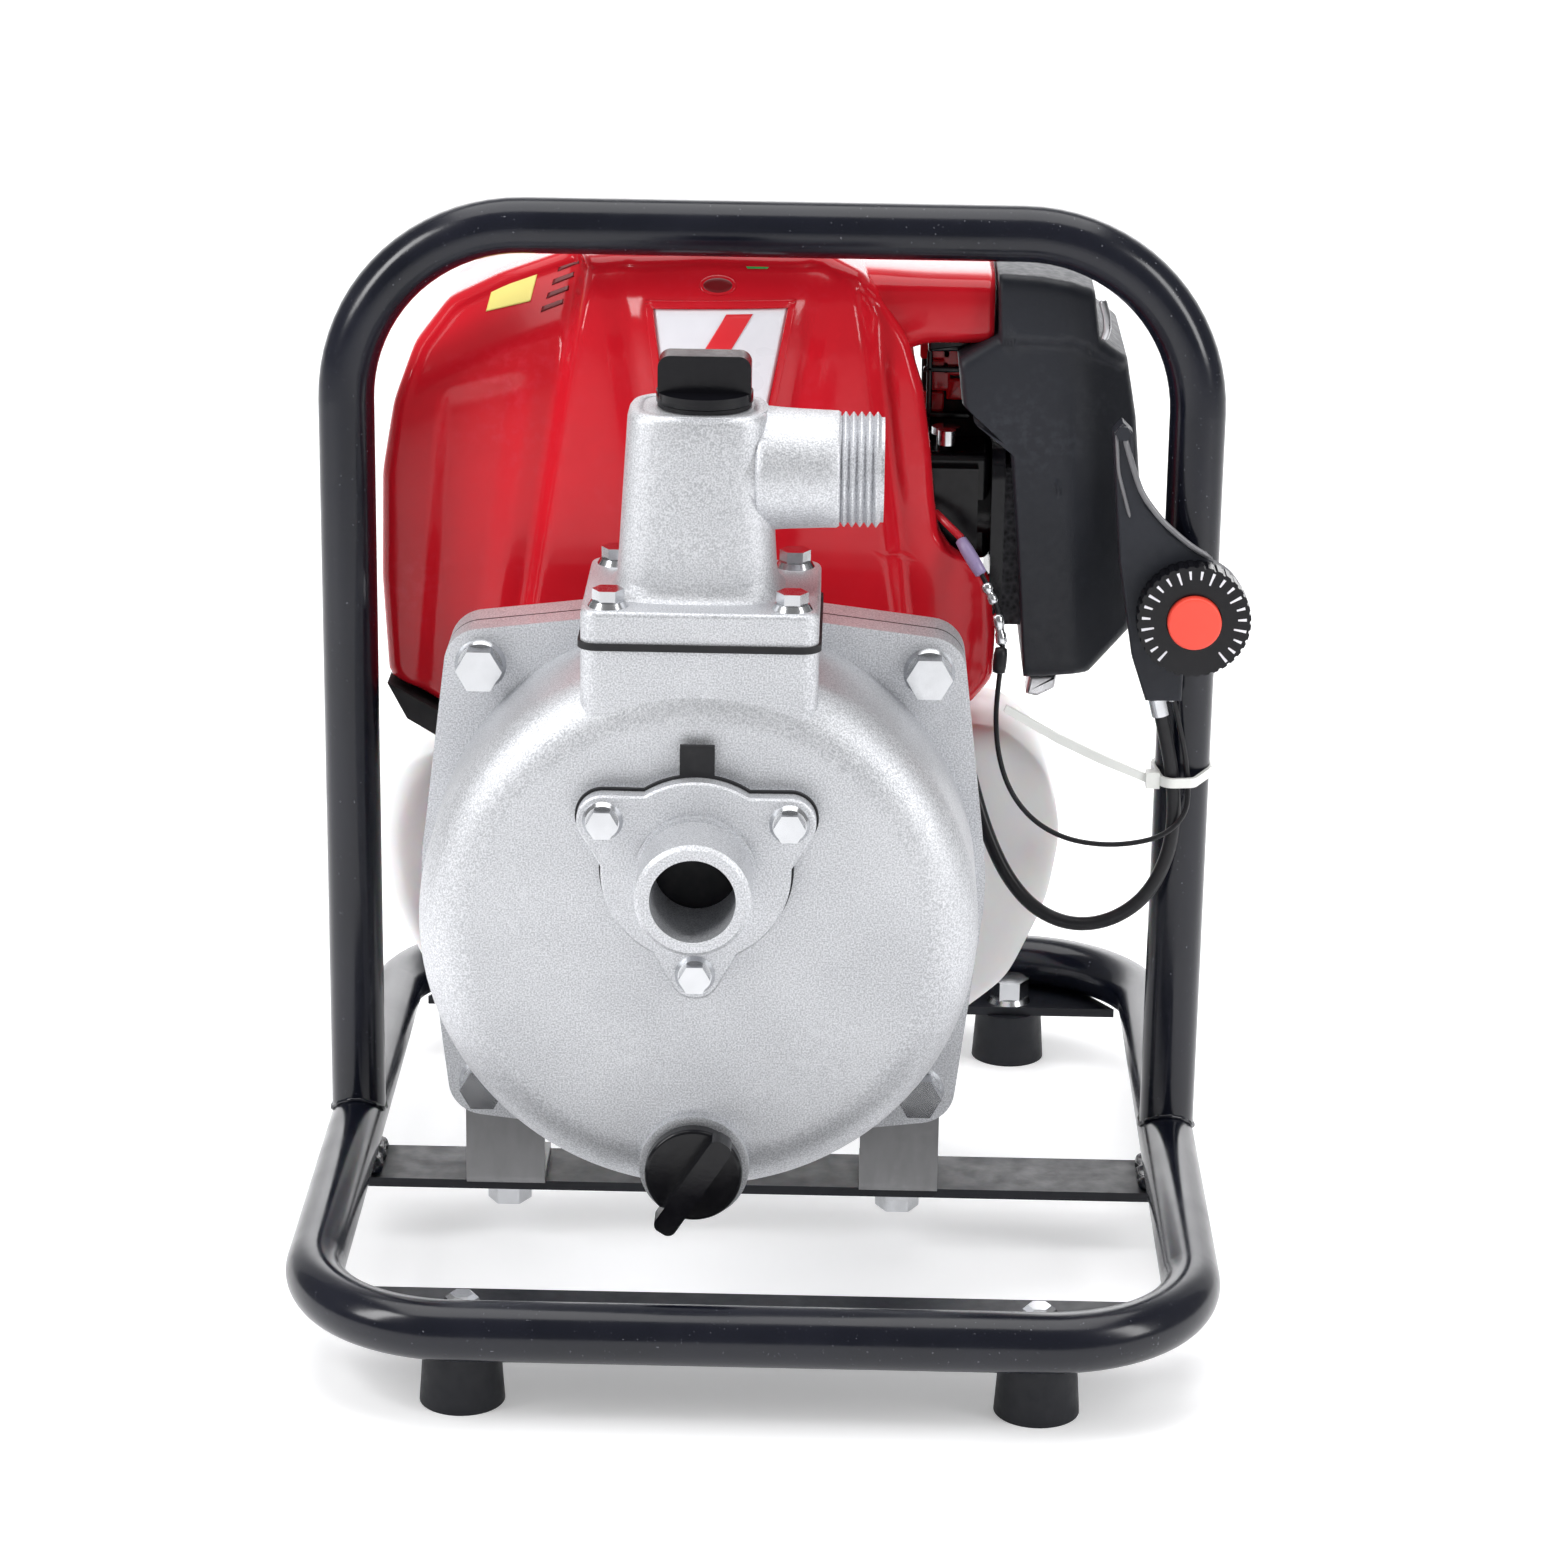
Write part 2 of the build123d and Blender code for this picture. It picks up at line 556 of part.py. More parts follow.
# ---------------------------------------------------------------- pump insides
def inner_volute():
    """Cup around the impeller, open at the eye and at the top, held by the back plate."""
    y0, y1 = IMPELLER_Y[0] - 4.5, BACK_PLATE_Y[0]
    cup = rod_y(IMPELLER_R + 7.0, y0, y1)
    cup -= rod_y(IMPELLER_R + 4.0, y0 + 3.0, y1)
    cup -= rod_y(17.0, y0, y0 + 3.0)
    cup -= box(AX - 12, AX + 12, y0 + 3.0, IMPELLER_Y[1] + 3.0, AZ + 30, AZ + 60)
    return cup


def impeller():
    """Open impeller: hub, back disc and six swept vanes."""
    y0, y1 = IMPELLER_Y
    wheel = rod_y(IMPELLER_R, y1 - 3.0, y1) + rod_y(11.0, y0, y1)
    for i in range(6):
        turn = i * 60.0
        vane = Rot(Z=turn) * (Pos(0, 26.0) * Rot(Z=-32) * Rectangle(3.0, 34.0))
        wheel += prism_y(Pos(AX, AZ) * vane, y0, y1 - 2.0)
    wheel = wheel & rod_y(IMPELLER_R, y0, y1)
    return wheel - rod_y(SHAFT_R, y0 + 4.0, y1)


def pump_shaft():
    return rod_y(SHAFT_R, IMPELLER_Y[0] + 4.0, 1.0)


def shaft_seal():
    """Stationary half of the mechanical seal, pressed into the back plate."""
    return ring_y(7.0, 13.0, SEAL_Y[0] + 14.0, SEAL_Y[1])


def ball_bearing(size, y0):
    inner, outer, width = size
    step = (outer - inner) * 0.28
    return ring_y(inner + SHAFT_FIT, inner + step, y0, y0 + width), ring_y(outer - step, outer, y0, y0 + width)


def ball_bearings():
    """Two bearings on the pump shaft and two on the crankshaft, shown as whole rings."""
    rings = []
    for size, y0 in ((BEARING_6001, -20.5), (BEARING_6001, -11.0), (BEARING_6202, 17.5), (BEARING_6202, 53.5)):
        inner, outer, width = size
        rings.append(ring_y(inner + SHAFT_FIT, outer, y0, y0 + width))
    return Compound(rings)


def clutch_drum():
    drum = rod_y(37.5, -1.5, 14.0) - rod_y(34.5, 1.0, 14.0)
    return drum - rod_y(SHAFT_R, -1.5, 1.0)


def clutch_shoes():
    """Two sprung shoes of the centrifugal clutch on their carrier plate."""
    ring = ring_y(14.0, 33.5, 3.0, 12.5)
    ring -= box(AX - 40, AX + 40, 2.0, 13.0, AZ - 1.5, AZ + 1.5)
    carrier = rod_y(15.5, 6.0, 9.5) - rod_y(5.0, 2.0, 13.0)
    return ring + carrier


# ---------------------------------------------------------------- engine core
def crankshaft():
    y0, y1 = CHAMBER_Y
    shaft = rod_y(5.0, 3.0, 16.5) + rod_y(BEARING_6202[0], 16.5, y0 + 0.6)
    shaft += rod_y(27.0, y0 + 0.6, 36.5) + rod_y(PIN_R, 36.5, 45.5, AX, AZ + THROW) + rod_y(27.0, 45.5, y1 - 0.6)
    shaft += rod_y(BEARING_6202[0], y1 - 0.6, 68.0) + rod_y(6.0, 68.0, FLYWHEEL_Y[1] + 5)
    return shaft


def crankcase():
    y0, y1 = CRANKCASE_Y
    case = rod_y(CRANKCASE_R, y0 + 4, y1) + rod_y(BELL_R[1], y0, y0 + 5)
    case += box(AX - 26, AX + 26, CYL_Y - 23, CYL_Y + 23, AZ, DECK_Z)
    for y in (28.0, 58.0):
        case += rod_y(SADDLE_R, y, y + 5)
    case += prism_y(case_outline(), SHROUD_Y[1] + 0.2, FAN_Y[0])
    for x in (AX - 28, AX + 28):
        for z in (AZ - 28, AZ + 28):
            case += rod_y(5.0, y1 - 2, FAN_Y[0] - 1, x, z)
    case -= rod_y(12.0, FAN_Y[0] - 3, FAN_Y[0])
    case -= rod_y(CHAMBER_R, CHAMBER_Y[0], CHAMBER_Y[1])
    case -= rod_z(BORE_R + 2.2, AX, CYL_Y, AZ, DECK_Z)
    case -= box(AX - 40, AX + 40, y0, y1, DECK_Z, DECK_Z + 10)
    case -= rod_y(BEARING_6202[1] + SHAFT_FIT, y0, CHAMBER_Y[0])
    case -= rod_y(BEARING_6202[1] + SHAFT_FIT, CHAMBER_Y[1], y1)
    return case


def cylinder():
    """Finned two-stroke cylinder standing on the crankcase deck."""
    body = rod_z(24.5, AX, CYL_Y, DECK_Z, HEAD_Z)
    body += rod_z(BORE_R + 2.0, AX, CYL_Y, DECK_Z - 8, DECK_Z)
    fin_x, fin_y = FIN_HALF
    for i in range(8):
        z = 179.0 + 7.6 * i
        body += Pos(AX, CYL_Y, z) * extrude(RectangleRounded(2 * fin_x, 2 * fin_y, 8.0), 2.2)
    body += rod_x(15.0, AX + 20, AX + 38.5, CYL_Y, 222.0) + rod_x(13.0, AX - 38.5, AX - 20, CYL_Y, 215.0)
    body -= rod_z(BORE_R, AX, CYL_Y, DECK_Z - 8, HEAD_Z - 7)
    body -= rod_x(9.0, AX, AX + 38.5, CYL_Y, 222.0)
    body -= rod_x(9.0, AX - 38.5, AX, CYL_Y, 215.0)
    return body - rod_z(5.1, AX, CYL_Y, HEAD_Z - 8, HEAD_Z)


def piston():
    crown = rod_z(BORE_R - SHAFT_FIT, AX, CYL_Y, 191.0, 223.0)
    crown -= rod_z(BORE_R - 3.0, AX, CYL_Y, 191.0, 219.0)
    return crown - rod_y(4.0, CYL_Y - 20, CYL_Y + 20, AX, WRIST_PIN_Z)


def con_rod():
    """Connecting rod at top dead centre with its wrist pin; the big end is an open saddle."""
    sweep_r = THROW + PIN_R + 0.6
    rod = rod_y(8.0, CYL_Y - 4, CYL_Y + 4, AX, WRIST_PIN_Z)
    rod += box(AX - 5, AX + 5, CYL_Y - 3, CYL_Y + 3, AZ + THROW, WRIST_PIN_Z)
    rod += rod_y(11.0, CYL_Y - 4, CYL_Y + 4, AX, AZ + THROW + 8)
    rod -= rod_y(sweep_r, CYL_Y - 6, CYL_Y + 6)
    return rod + rod_y(3.95, CYL_Y - 16.5, CYL_Y + 16.5, AX, WRIST_PIN_Z)


def spark_plug():
    plug = rod_z(5.0, AX, CYL_Y, HEAD_Z - 6, HEAD_Z)
    plug += Pos(AX, CYL_Y, HEAD_Z) * extrude(RegularPolygon(9.5, 6, major_radius=False), 9.0)
    plug += rod_z(6.5, AX, CYL_Y, HEAD_Z + 9, HEAD_Z + 22) + rod_z(3.0, AX, CYL_Y, HEAD_Z + 22, HEAD_Z + 33)
    return plug


def plug_boot():
    """Rubber boot on the spark plug, with the ignition lead that runs back to the coil."""
    boot = rod_z(9.5, AX, CYL_Y, HEAD_Z + 13, HEAD_Z + 44) + rod_y(6.0, CYL_Y, CYL_Y + 20, AX, HEAD_Z + 38)
    boot -= rod_z(6.6, AX, CYL_Y, HEAD_Z + 13, HEAD_Z + 22.2)
    boot -= rod_z(3.1, AX, CYL_Y, HEAD_Z + 22, HEAD_Z + 33.2)
    start_z = HEAD_Z + 38
    corners = [(AX, CYL_Y + 20, start_z), (AX + 2, 78, start_z - 1), (LEAD_X, LEAD_Y, start_z - 16), (LEAD_X, LEAD_Y, 206.0)]
    path = FilletPolyline(*corners, radius=[9.0, 9.0])
    lead = sweep(Plane(origin=path @ 0, z_dir=path % 0) * Circle(3.0), path=path)
    return boot + lead


def muffler():
    can = box(AX - 96, AX - 40, 14, 68, 180, 250)
    can = fillet(can.edges(), 9.0)
    can -= offset_block(AX - 94, AX - 42, 16, 66, 182, 248)
    can += rod_x(12.0, AX - 43, AX - 38.5, CYL_Y, 215.0) - rod_x(9.0, AX - 44, AX - 38.5, CYL_Y, 215.0)
    can -= rod_x(9.0, AX - 44, AX - 38.5, CYL_Y, 215.0)
    return can - rod_y(6.0, 60, 70, AX - 70, 225.0)


def offset_block(x0, x1, y0, y1, z0, z1):
    block = box(x0, x1, y0, y1, z0, z1)
    return fillet(block.edges(), 7.0)


def muffler_guard():
    """Black heat guard below the shroud on the muffler side."""
    points = [
        (-119.0, 171.5), (-101.0, 161.5), (-62.0, 161.1), (-62.0, 152.0), (-96.0, 150.0), (-113.0, 160.0),
    ]
    plate = prism_y(outline(points), 10.0, 76.0)
    return plate - prism_y(outline([(-112, 163.6), (-100, 158.0), (-65, 157.5), (-65, 155.0), (-96, 153.0)]), 13.0, 76.0)


# ---------------------------------------------------------------- shroud and starter
def shroud_outline():
    """Front view of the shroud: muffler bulge, crown, arm to the filter and lower right lobe."""
    points = [
        (-119.0, 171.5), (-121.5, 205.0), (-121.0, 244.0), (-115.0, 267.0), (-103.0, 285.0), (-84.0, 296.0),
        (-60.0, 305.0), (27.0, 306.0), (33.0, 303.0), (67.0, 301.5), (67.0, 283.5), (46.5, 279.0), (47.5, 262.0),
        (50.5, 222.0), (54.5, 213.5), (65.5, 210.0), (70.0, 203.0), (70.0, 172.0), (62.0, 164.0), (-60.0, 161.0),
        (-101.0, 161.5),
    ]
    return outline(points)


def spine_outline():
    return outline([(-55.0, 304.0), (24.0, 304.0), (31.0, 280.0), (42.0, 166.0), (-76.0, 166.0), (-66.0, 250.0)])


def engine_shroud():
    """Moulded engine cover, open at the back and below."""
    y0, y1 = SHROUD_Y
    shell = prism_y(shroud_outline(), y0, y1)
    shell = fillet(shell.faces().sort_by(Axis.Y)[0].edges(), 4.0)
    spine = prism_y(spine_outline(), SPINE_FRONT_Y, y0 + 20)
    spine = fillet(spine.faces().sort_by(Axis.Y)[0].edges(), 4.0)
    shell += spine
    shell -= prism_y(offset(shroud_outline(), -SHROUD_WALL, kind=Kind.INTERSECTION), y0 + SHROUD_WALL, y1)
    shell -= prism_y(offset(spine_outline(), -SHROUD_WALL, kind=Kind.INTERSECTION), SPINE_FRONT_Y + SHROUD_WALL, y0 + 15)
    shell -= box(-96.0, 66.0, y0 + SHROUD_WALL, y1, 155.0, 175.0)
    shell -= box(-74.0, 40.0, SPINE_FRONT_Y + SHROUD_WALL, y1, 155.0, 175.0)
    shell -= box(WINDOW_X, 80.0, WINDOW_Y, y1 + 1, WINDOW_Z[0], WINDOW_Z[1])
    for x in (AX - 30, AX + 30):
        shell += rod_z(4.5, x, CYL_Y + 15, HEAD_Z - 1.6, 303.0)
    return shell - rod_y(BELL_R[1] + 2, SPINE_FRONT_Y - 1, y1)


def case_outline(grow=0.0):
    shape = Pos(AX, AZ) * Circle(60.0 + grow)
    shape += Pos(AX, 192.0) * RectangleRounded(2 * (40.0 + grow), 2 * (24.0 + grow), 8.0 + grow)
    return make_hull(shape.edges())


def starter_housing():
    """Fan case behind the engine, stepping down to the recoil starter's dome, with air slots."""
    y0, y1 = FAN_Y
    case = prism_y(case_outline(), y0, y1)
    case += rod_y(46.0, y1 - 1, RECOIL_Y)
    case = fillet(case.faces().sort_by(Axis.Y)[-1].edges(), 6.0)
    case -= prism_y(case_outline(-CASE_WALL), y0, y1 - CASE_WALL)
    case -= rod_y(46.0 - CASE_WALL, y1 - CASE_WALL - 1, RECOIL_Y - CASE_WALL)
    for i in range(12):
        slot = Rot(Z=30 * i) * (Pos(0, 31.0) * RectangleRounded(6.0, 18.0, 2.5))
        case -= prism_y(Pos(AX, AZ) * slot, RECOIL_Y - 6, RECOIL_Y + 1)
    case += rod_y(5.0, PULLEY_Y[0] - 2, RECOIL_Y - 1)
    case -= rod_z(3.6, LEAD_X, LEAD_Y, 205.0, 217.0)
    case += rod_y(13.0, 104.0, 127.0, AX - ROPE_R, 168.0) & box(AX - 60, AX, 104, 127, 160, 182)
    return case - rod_z(3.2, AX - ROPE_R, 116.0, AZ, 184.0)


def flywheel():
    y0, y1 = FLYWHEEL_Y
    wheel = rod_y(FLYWHEEL_R, y0, y0 + 9) + rod_y(14.0, y0, y1)
    for i in range(10):
        blade = Rot(Z=36 * i) * (Pos(0, 33.0) * Rectangle(2.5, 26.0))
        wheel += prism_y(Pos(AX, AZ) * blade, y0 + 8, y1)
    return wheel - rod_y(6.0, y0, y1)


def ignition_coil():
    """Coil block and its laminated legs above the flywheel rim."""
    coil = box(AX - 20, AX + 20, FAN_Y[0], 100.0, 188.0, 206.0)
    coil = fillet(coil.edges().filter_by(Axis.Y), 3.0)
    for x in (AX - 16, AX + 16):
        coil += box(x - 4, x + 4, 89.0, 95.0, 174.5, 190.0)
    return coil - rod_y(FLYWHEEL_R + 0.8, 80, 105)


def starter_pulley():
    """Rope drum of the recoil starter with its groove."""
    y0, y1 = PULLEY_Y
    drum = rod_y(PULLEY_R, y0, y1) - ring_y(ROPE_R - 2, PULLEY_R + 1, y0 + 2.5, y1 - 2.5)
    return drum - rod_y(5.0 + SHAFT_FIT, y0, y1)


def starter_handle():
    """T handle of the recoil starter, resting on the rope guide, and its short rope end."""
    x = AX - ROPE_R
    low = HANDLE_LOW_Z
    grip = box(x - 26, x + 26, 108.5, 123.5, low + 8, low + 24)
    grip = fillet(grip.edges(), 6.0)
    stalk = Pos(x, 116.0, low) * Cone(6.0, 7.4, 10.0, align=(Align.CENTER, Align.CENTER, Align.MIN))
    rope = rod_z(2.2, x, 116.0, 166.0, low + 1)
    return grip + stalk + rope


# ---------------------------------------------------------------- intake
def intake_spacer():
    block = box(AX + 38.5, CARB_X[0], CYL_Y - 17, CYL_Y + 17, 206, 240)
    block = fillet(block.edges().filter_by(Axis.X), 4.0)
    return block - rod_x(9.0, AX + 38, CARB_X[0], CYL_Y, 222.0)


def carburettor():
    x0, x1 = CARB_X
    body = box(x0, x1, CARB_Y[0] + 4, CARB_Y[1] - 4, CARB_Z[0] + 4, CARB_Z[1] - 4)
    body = fillet(body.edges(), 2.5)
    body += rod_x(14.0, x0, x1, CYL_Y, 224.0)
    body += box(x0 + 4, x1 - 4, CARB_Y[0], CARB_Y[0] + 8, 214, 240)
    body += box(x0 + 3, x1 - 3, CARB_Y[0] + 8, CARB_Y[1] - 6, CARB_Z[0], CARB_Z[0] + 6)
    body += rod_z(3.0, 54.0, CYL_Y, CARB_Z[1] - 6, CARB_Z[1] - 1)
    body -= rod_z(9.0, 54.0, CYL_Y, CARB_Z[0], CARB_Z[0] + BULB_TRAVEL + 0.8)
    return body - rod_x(8.0, x0, x1, CYL_Y, 222.0)


def throttle_lever():
    """Lever on top of the carburettor that the cable turns."""
    z = CARB_Z[1] - 0.7
    arm = rod_z(4.5, 54.0, CYL_Y, z, z + 2.2) + box(52.0, 56.0, CYL_Y - 15, CYL_Y, z, z + 2.2)
    return arm + rod_z(2.8, 54.0, CYL_Y - 15, z, z + 4.5)


def filter_base():
    x0, x1 = FILTER_BASE_X
    plate = box(x0, x1, 15.0, 79.0, 190.0, 247.0)
    plate = fillet(plate.edges().filter_by(Axis.X), 8.0)
    return plate - rod_x(8.0, x0, x1, CYL_Y, 222.0) - rod_x(2.1, x0, x1, 70.0, 205.0)


def choke_lever():
    """Choke lever on the filter base, on its own stub, clear of the carburettor."""
    x1 = FILTER_BASE_X[0] - 0.3
    lever = rod_x(4.5, x1 - 3, x1, 70.0, 205.0) + box(x1 - 3, x1, 68.0, 84.0, 203.0, 207.0)
    lever += box(x1 - 8, x1, 81.0, 86.0, 202.0, 208.0)
    return lever + rod_x(2.05, x1, FILTER_BASE_X[1] - 0.5, 70.0, 205.0)


def primer_bulb():
    """Soft bulb under the carburettor that primes it with fuel."""
    z1 = CARB_Z[0]
    dome = Pos(54.0, CYL_Y, z1) * Sphere(8.5)
    return dome & box(40.0, 68.0, CYL_Y - 10, CYL_Y + 10, z1 - 10, z1)


def filter_element():
    foam = box(82.0, 103.0, 18.0, 76.0, 186.0, 262.0)
    return fillet(foam.edges(), 4.0) + box(FILTER_BASE_X[1], 90.0, 18.0, 76.0, 192.0, 242.0)


def cover_outline():
    points = [
        (68.8, 303.0), (82.0, 302.0), (97.5, 298.0), (100.0, 281.5), (109.0, 276.5), (114.3, 237.0),
        (113.0, 187.5), (100.0, 175.5), (79.3, 174.0), (76.3, 212.0), (73.8, 248.0), (61.0, 256.0), (57.2, 276.0),
        (68.8, 283.0),
    ]
    return outline(points)


def filter_cover():
    """Air filter cover, open towards the carburettor, with the boss that carries the control arm."""
    y0, y1 = COVER_Y
    cover = prism_y(cover_outline(), y0, y1)
    ends = cover.faces().sort_by(Axis.Y)
    cover = fillet(ends[0].edges() + ends[-1].edges(), 3.0)
    hollow = offset(cover_outline(), -COVER_WALL, kind=Kind.ARC)
    cover -= prism_y(hollow, y0 + COVER_WALL, y1 - COVER_WALL)
    cover += box(FILTER_BASE_X[1], 80.5, 14.0, 80.0, 188.0, 246.0)
    cover -= box(FILTER_BASE_X[1], 83.0, 16.0, 78.0, 190.0, 244.0)
    boss = rod_y(3.8, ARM_Y[1], y0 + 1, 105.6, 262.0)
    return cover + boss


# ---------------------------------------------------------------- fuel
def tank_outline():
    return outline([
        (-88.0, 54.0), (-108.0, 68.0), (-121.0, 96.0), (-124.0, 120.0), (-117.0, 140.0), (-100.0, 147.0),
        (-78.0, 145.0), (-66.0, 134.0), (30.0, 134.0), (44.0, 150.0), (58.0, 157.5), (75.0, 156.0),
        (88.0, 143.0), (94.0, 122.0), (90.0, 98.0), (77.0, 70.0), (56.0, 54.0),
    ])


def saddle(radius):
    """Round seat of the tank about the crankcase, open upwards."""
    return rod_y(radius, 0, 100) + box(AX - radius, AX + radius, 0, 100, AZ, AZ + 60)


def fuel_tank():
    """U-shaped tank that wraps round the crankcase from below."""
    y0, y1 = TANK_Y
    tank = prism_y(tank_outline(), y0, y1)
    ends = tank.faces().sort_by(Axis.Y)
    tank = fillet(ends[0].edges() + ends[-1].edges(), 5.0)
    tank -= saddle(SADDLE_R)
    tank += rod_y(12.0, y1 - 1, y1 + 7, CAP_X, CAP_Z)
    hollow = prism_y(offset(tank_outline(), -TANK_WALL, kind=Kind.ARC), y0 + TANK_WALL, y1 - TANK_WALL)
    tank -= hollow - saddle(SADDLE_R + TANK_WALL)
    return tank - rod_y(9.0, y1 - 5, y1 + 7, CAP_X, CAP_Z)


def cap_seal():
    """Flat seal carried inside the fuel cap."""
    y0 = TANK_Y[1] + 7 + GAP
    return ring_y(9.5, 11.8, y0, y0 + SEAL_T, CAP_X, CAP_Z)


def fuel_cap():
    """Ribbed screw cap over the tank's neck."""
    y1 = TANK_Y[1]
    cap = rod_y(16.0, y1 + GAP, y1 + 14, CAP_X, CAP_Z)
    cap = fillet(cap.edges().filter_by(GeomType.CIRCLE).sort_by(Axis.Y)[-1], 2.0)
    for i in range(12):
        groove = Rot(Z=30 * i) * (Pos(0, 16.2) * Circle(1.4))
        cap -= prism_y(Pos(CAP_X, CAP_Z) * groove, y1, y1 + 14)
    return cap - rod_y(12.1, y1, y1 + 7 + GAP + SEAL_T + GAP, CAP_X, CAP_Z)


# ---------------------------------------------------------------- throttle control
def arm_outline():
    """Strap from the eye on the filter cover down to the round housing behind the dial."""
    strap = outline([
        (102.6, 262.0), (105.4, 265.2), (108.6, 262.0), (109.4, 249.0), (113.5, 240.0), (121.0, 231.5), (131.0, 224.5),
        (134.5, 222.5), (128.6, 206.0), (126.8, 190.0), (126.6, ARM_LOW_Z), (115.6, ARM_LOW_Z), (111.0, 192.0),
        (106.0, 222.0),
    ])
    return strap + Pos(DIAL_X, DIAL_Z) * Circle(16.6)


def control_arm():
    arm = prism_y(arm_outline(), ARM_Y[0], ARM_Y[1])
    front = arm.faces().sort_by(Axis.Y)[0]
    arm = fillet(front.edges(), 1.0)
    screw = Pos(105.6, ARM_Y[0], 262.0) * Rot(X=90) * extrude(RegularPolygon(2.4, 6), 1.4)
    return arm + screw


def throttle_dial():
    """Serrated dial that opens the throttle; the stop button sits in its middle."""
    y0, y1 = DIAL_Y
    disc = Circle(DIAL_R)
    teeth = 36
    for i in range(teeth):
        disc -= Rot(Z=i * 360 / teeth) * (Pos(0, DIAL_R + 0.25) * Circle(0.75))
    dial = prism_y(Pos(DIAL_X, DIAL_Z) * disc, y0, y1)
    return dial - rod_y(BUTTON_HOLE_R, y0, y1, DIAL_X, DIAL_Z)


def stop_button():
    button = rod_y(BUTTON_R, -28.6, -20.8, DIAL_X, DIAL_Z)
    return fillet(button.edges().filter_by(GeomType.CIRCLE).sort_by(Axis.Y)[0], 0.8)


def along(points, at, step):
    """Plane on a route at one end of the cord, facing out of the cord."""
    here = Vector(*points[at])
    return Plane(origin=here, z_dir=here - Vector(*points[at + step]))


def cable_ends():
    """Ferrule under the control arm, cable stop on the carburettor and the stop wire's terminal."""
    ferrule = along(CABLE_ROUTE, 0, 1) * extrude(Circle(2.9), 5.6)
    boot = along(WIRE_ROUTE, 0, 1) * extrude(Circle(1.6), 3.0)
    exits = ferrule + boot - box(110, 130, -20, -5, ARM_LOW_Z, 190)
    x, y, z = CABLE_ROUTE[-1]
    stop = box(x - 4, x + 4, y - 3.5, CARB_Y[0] + 4, z + 0.4, z + 5)
    collar = along(CABLE_ROUTE, -1, -1) * extrude(Circle(2.9), 2.0)
    x, y, z = TERMINAL
    tag = rod_y(4.0, y - 1.2, y, x, z) + rod_y(2.4, y - 3.0, y, x, z)
    tail = along(WIRE_ROUTE, -1, -1) * extrude(Circle(1.3), 6.5)
    return Compound([*exits.solids(), stop + collar, tag + (tail - box(20, 45, y, 30, 220, 240))])


def zip_tie():
    """Cable tie round the hoop's leg and both cords, with its long uncut tail."""
    loop = Pos(HALF_WIDTH, 0) * Circle(8.55) + Pos(125.2, -12.4) * Circle(3.2) + Pos(129.6, -12.6) * Circle(2.4)
    inner = make_hull(loop.edges())
    outer = offset(inner, 1.1)
    band = Pos(0, 0, 150.5) * extrude(outer - inner, 3.0)
    head = box(117.0, 121.2, -14.4, -10.2, 149.5, 154.6)
    tail = outline([(117.4, 151.0), (102.0, 157.2), (89.0, 163.4), (72.6, 173.0), (73.4, 175.2), (90.0, 166.0),
                    (103.0, 159.8), (117.4, 153.6)])
    return band + head + prism_y(tail, -13.4, -12.0)


# ---------------------------------------------------------------- all sub-parts
NODES = {
    "base_tube": base_tube,
    "hoop_tube": hoop_tube,
    "cross_bars": cross_bars,
    "rubber_feet": rubber_feet,
    "frame_bolts": frame_bolts,
    "pump_brackets": pump_brackets,
    "pump_casing": pump_casing,
    "casing_gasket": casing_gasket,
    "back_plate": back_plate,
    "casing_bolts": casing_bolts,
    "outlet_gasket": outlet_gasket,
    "outlet_elbow": outlet_elbow,
    "priming_plug": priming_plug,
    "priming_seal": priming_seal,
    "inlet_flange": inlet_flange,
    "inlet_gasket": inlet_gasket,
    "inlet_flap": inlet_flap,
    "cover_bolts": cover_bolts,
    "drain_plug": drain_plug,
    "drain_seal": drain_seal,
    "inner_volute": inner_volute,
    "impeller": impeller,
    "pump_shaft": pump_shaft,
    "shaft_seal": shaft_seal,
    "ball_bearings": ball_bearings,
    "clutch_drum": clutch_drum,
    "clutch_shoes": clutch_shoes,
    "crankshaft": crankshaft,
    "crankcase": crankcase,
    "cylinder": cylinder,
    "piston": piston,
    "con_rod": con_rod,
    "spark_plug": spark_plug,
    "plug_boot": plug_boot,
    "muffler": muffler,
    "muffler_guard": muffler_guard,
    "engine_shroud": engine_shroud,
    "starter_housing": starter_housing,
    "flywheel": flywheel,
    "ignition_coil": ignition_coil,
    "starter_pulley": starter_pulley,
    "starter_handle": starter_handle,
    "intake_spacer": intake_spacer,
    "carburettor": carburettor,
    "throttle_lever": throttle_lever,
    "filter_base": filter_base,
    "choke_lever": choke_lever,
    "primer_bulb": primer_bulb,
    "filter_element": filter_element,
    "filter_cover": filter_cover,
    "fuel_tank": fuel_tank,
    "cap_seal": cap_seal,
    "fuel_cap": fuel_cap,
    "control_arm": control_arm,
    "throttle_dial": throttle_dial,
    "stop_button": stop_button,
    "cable_ends": cable_ends,
    "throttle_cable": lambda: cord(CABLE_ROUTE, CABLE_R, "throttle cable"),
    "stop_wire": lambda: cord(WIRE_ROUTE, WIRE_R, "stop wire"),
    "zip_tie": zip_tie,
}

os.makedirs("parts", exist_ok=True)
for name, make in NODES.items():
    export_step(make(), f"parts/{name}.step")
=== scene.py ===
"""Portable water pump in a carrying frame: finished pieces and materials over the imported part.

Lengths are in millimetres until `piece` writes them to a mesh in metres. +Z is up and the
pump's inlet faces -Y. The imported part's own nodes keep their shape and get their finish here.
"""
import json
import math

import bpy
import numpy as np
from mathutils import Matrix


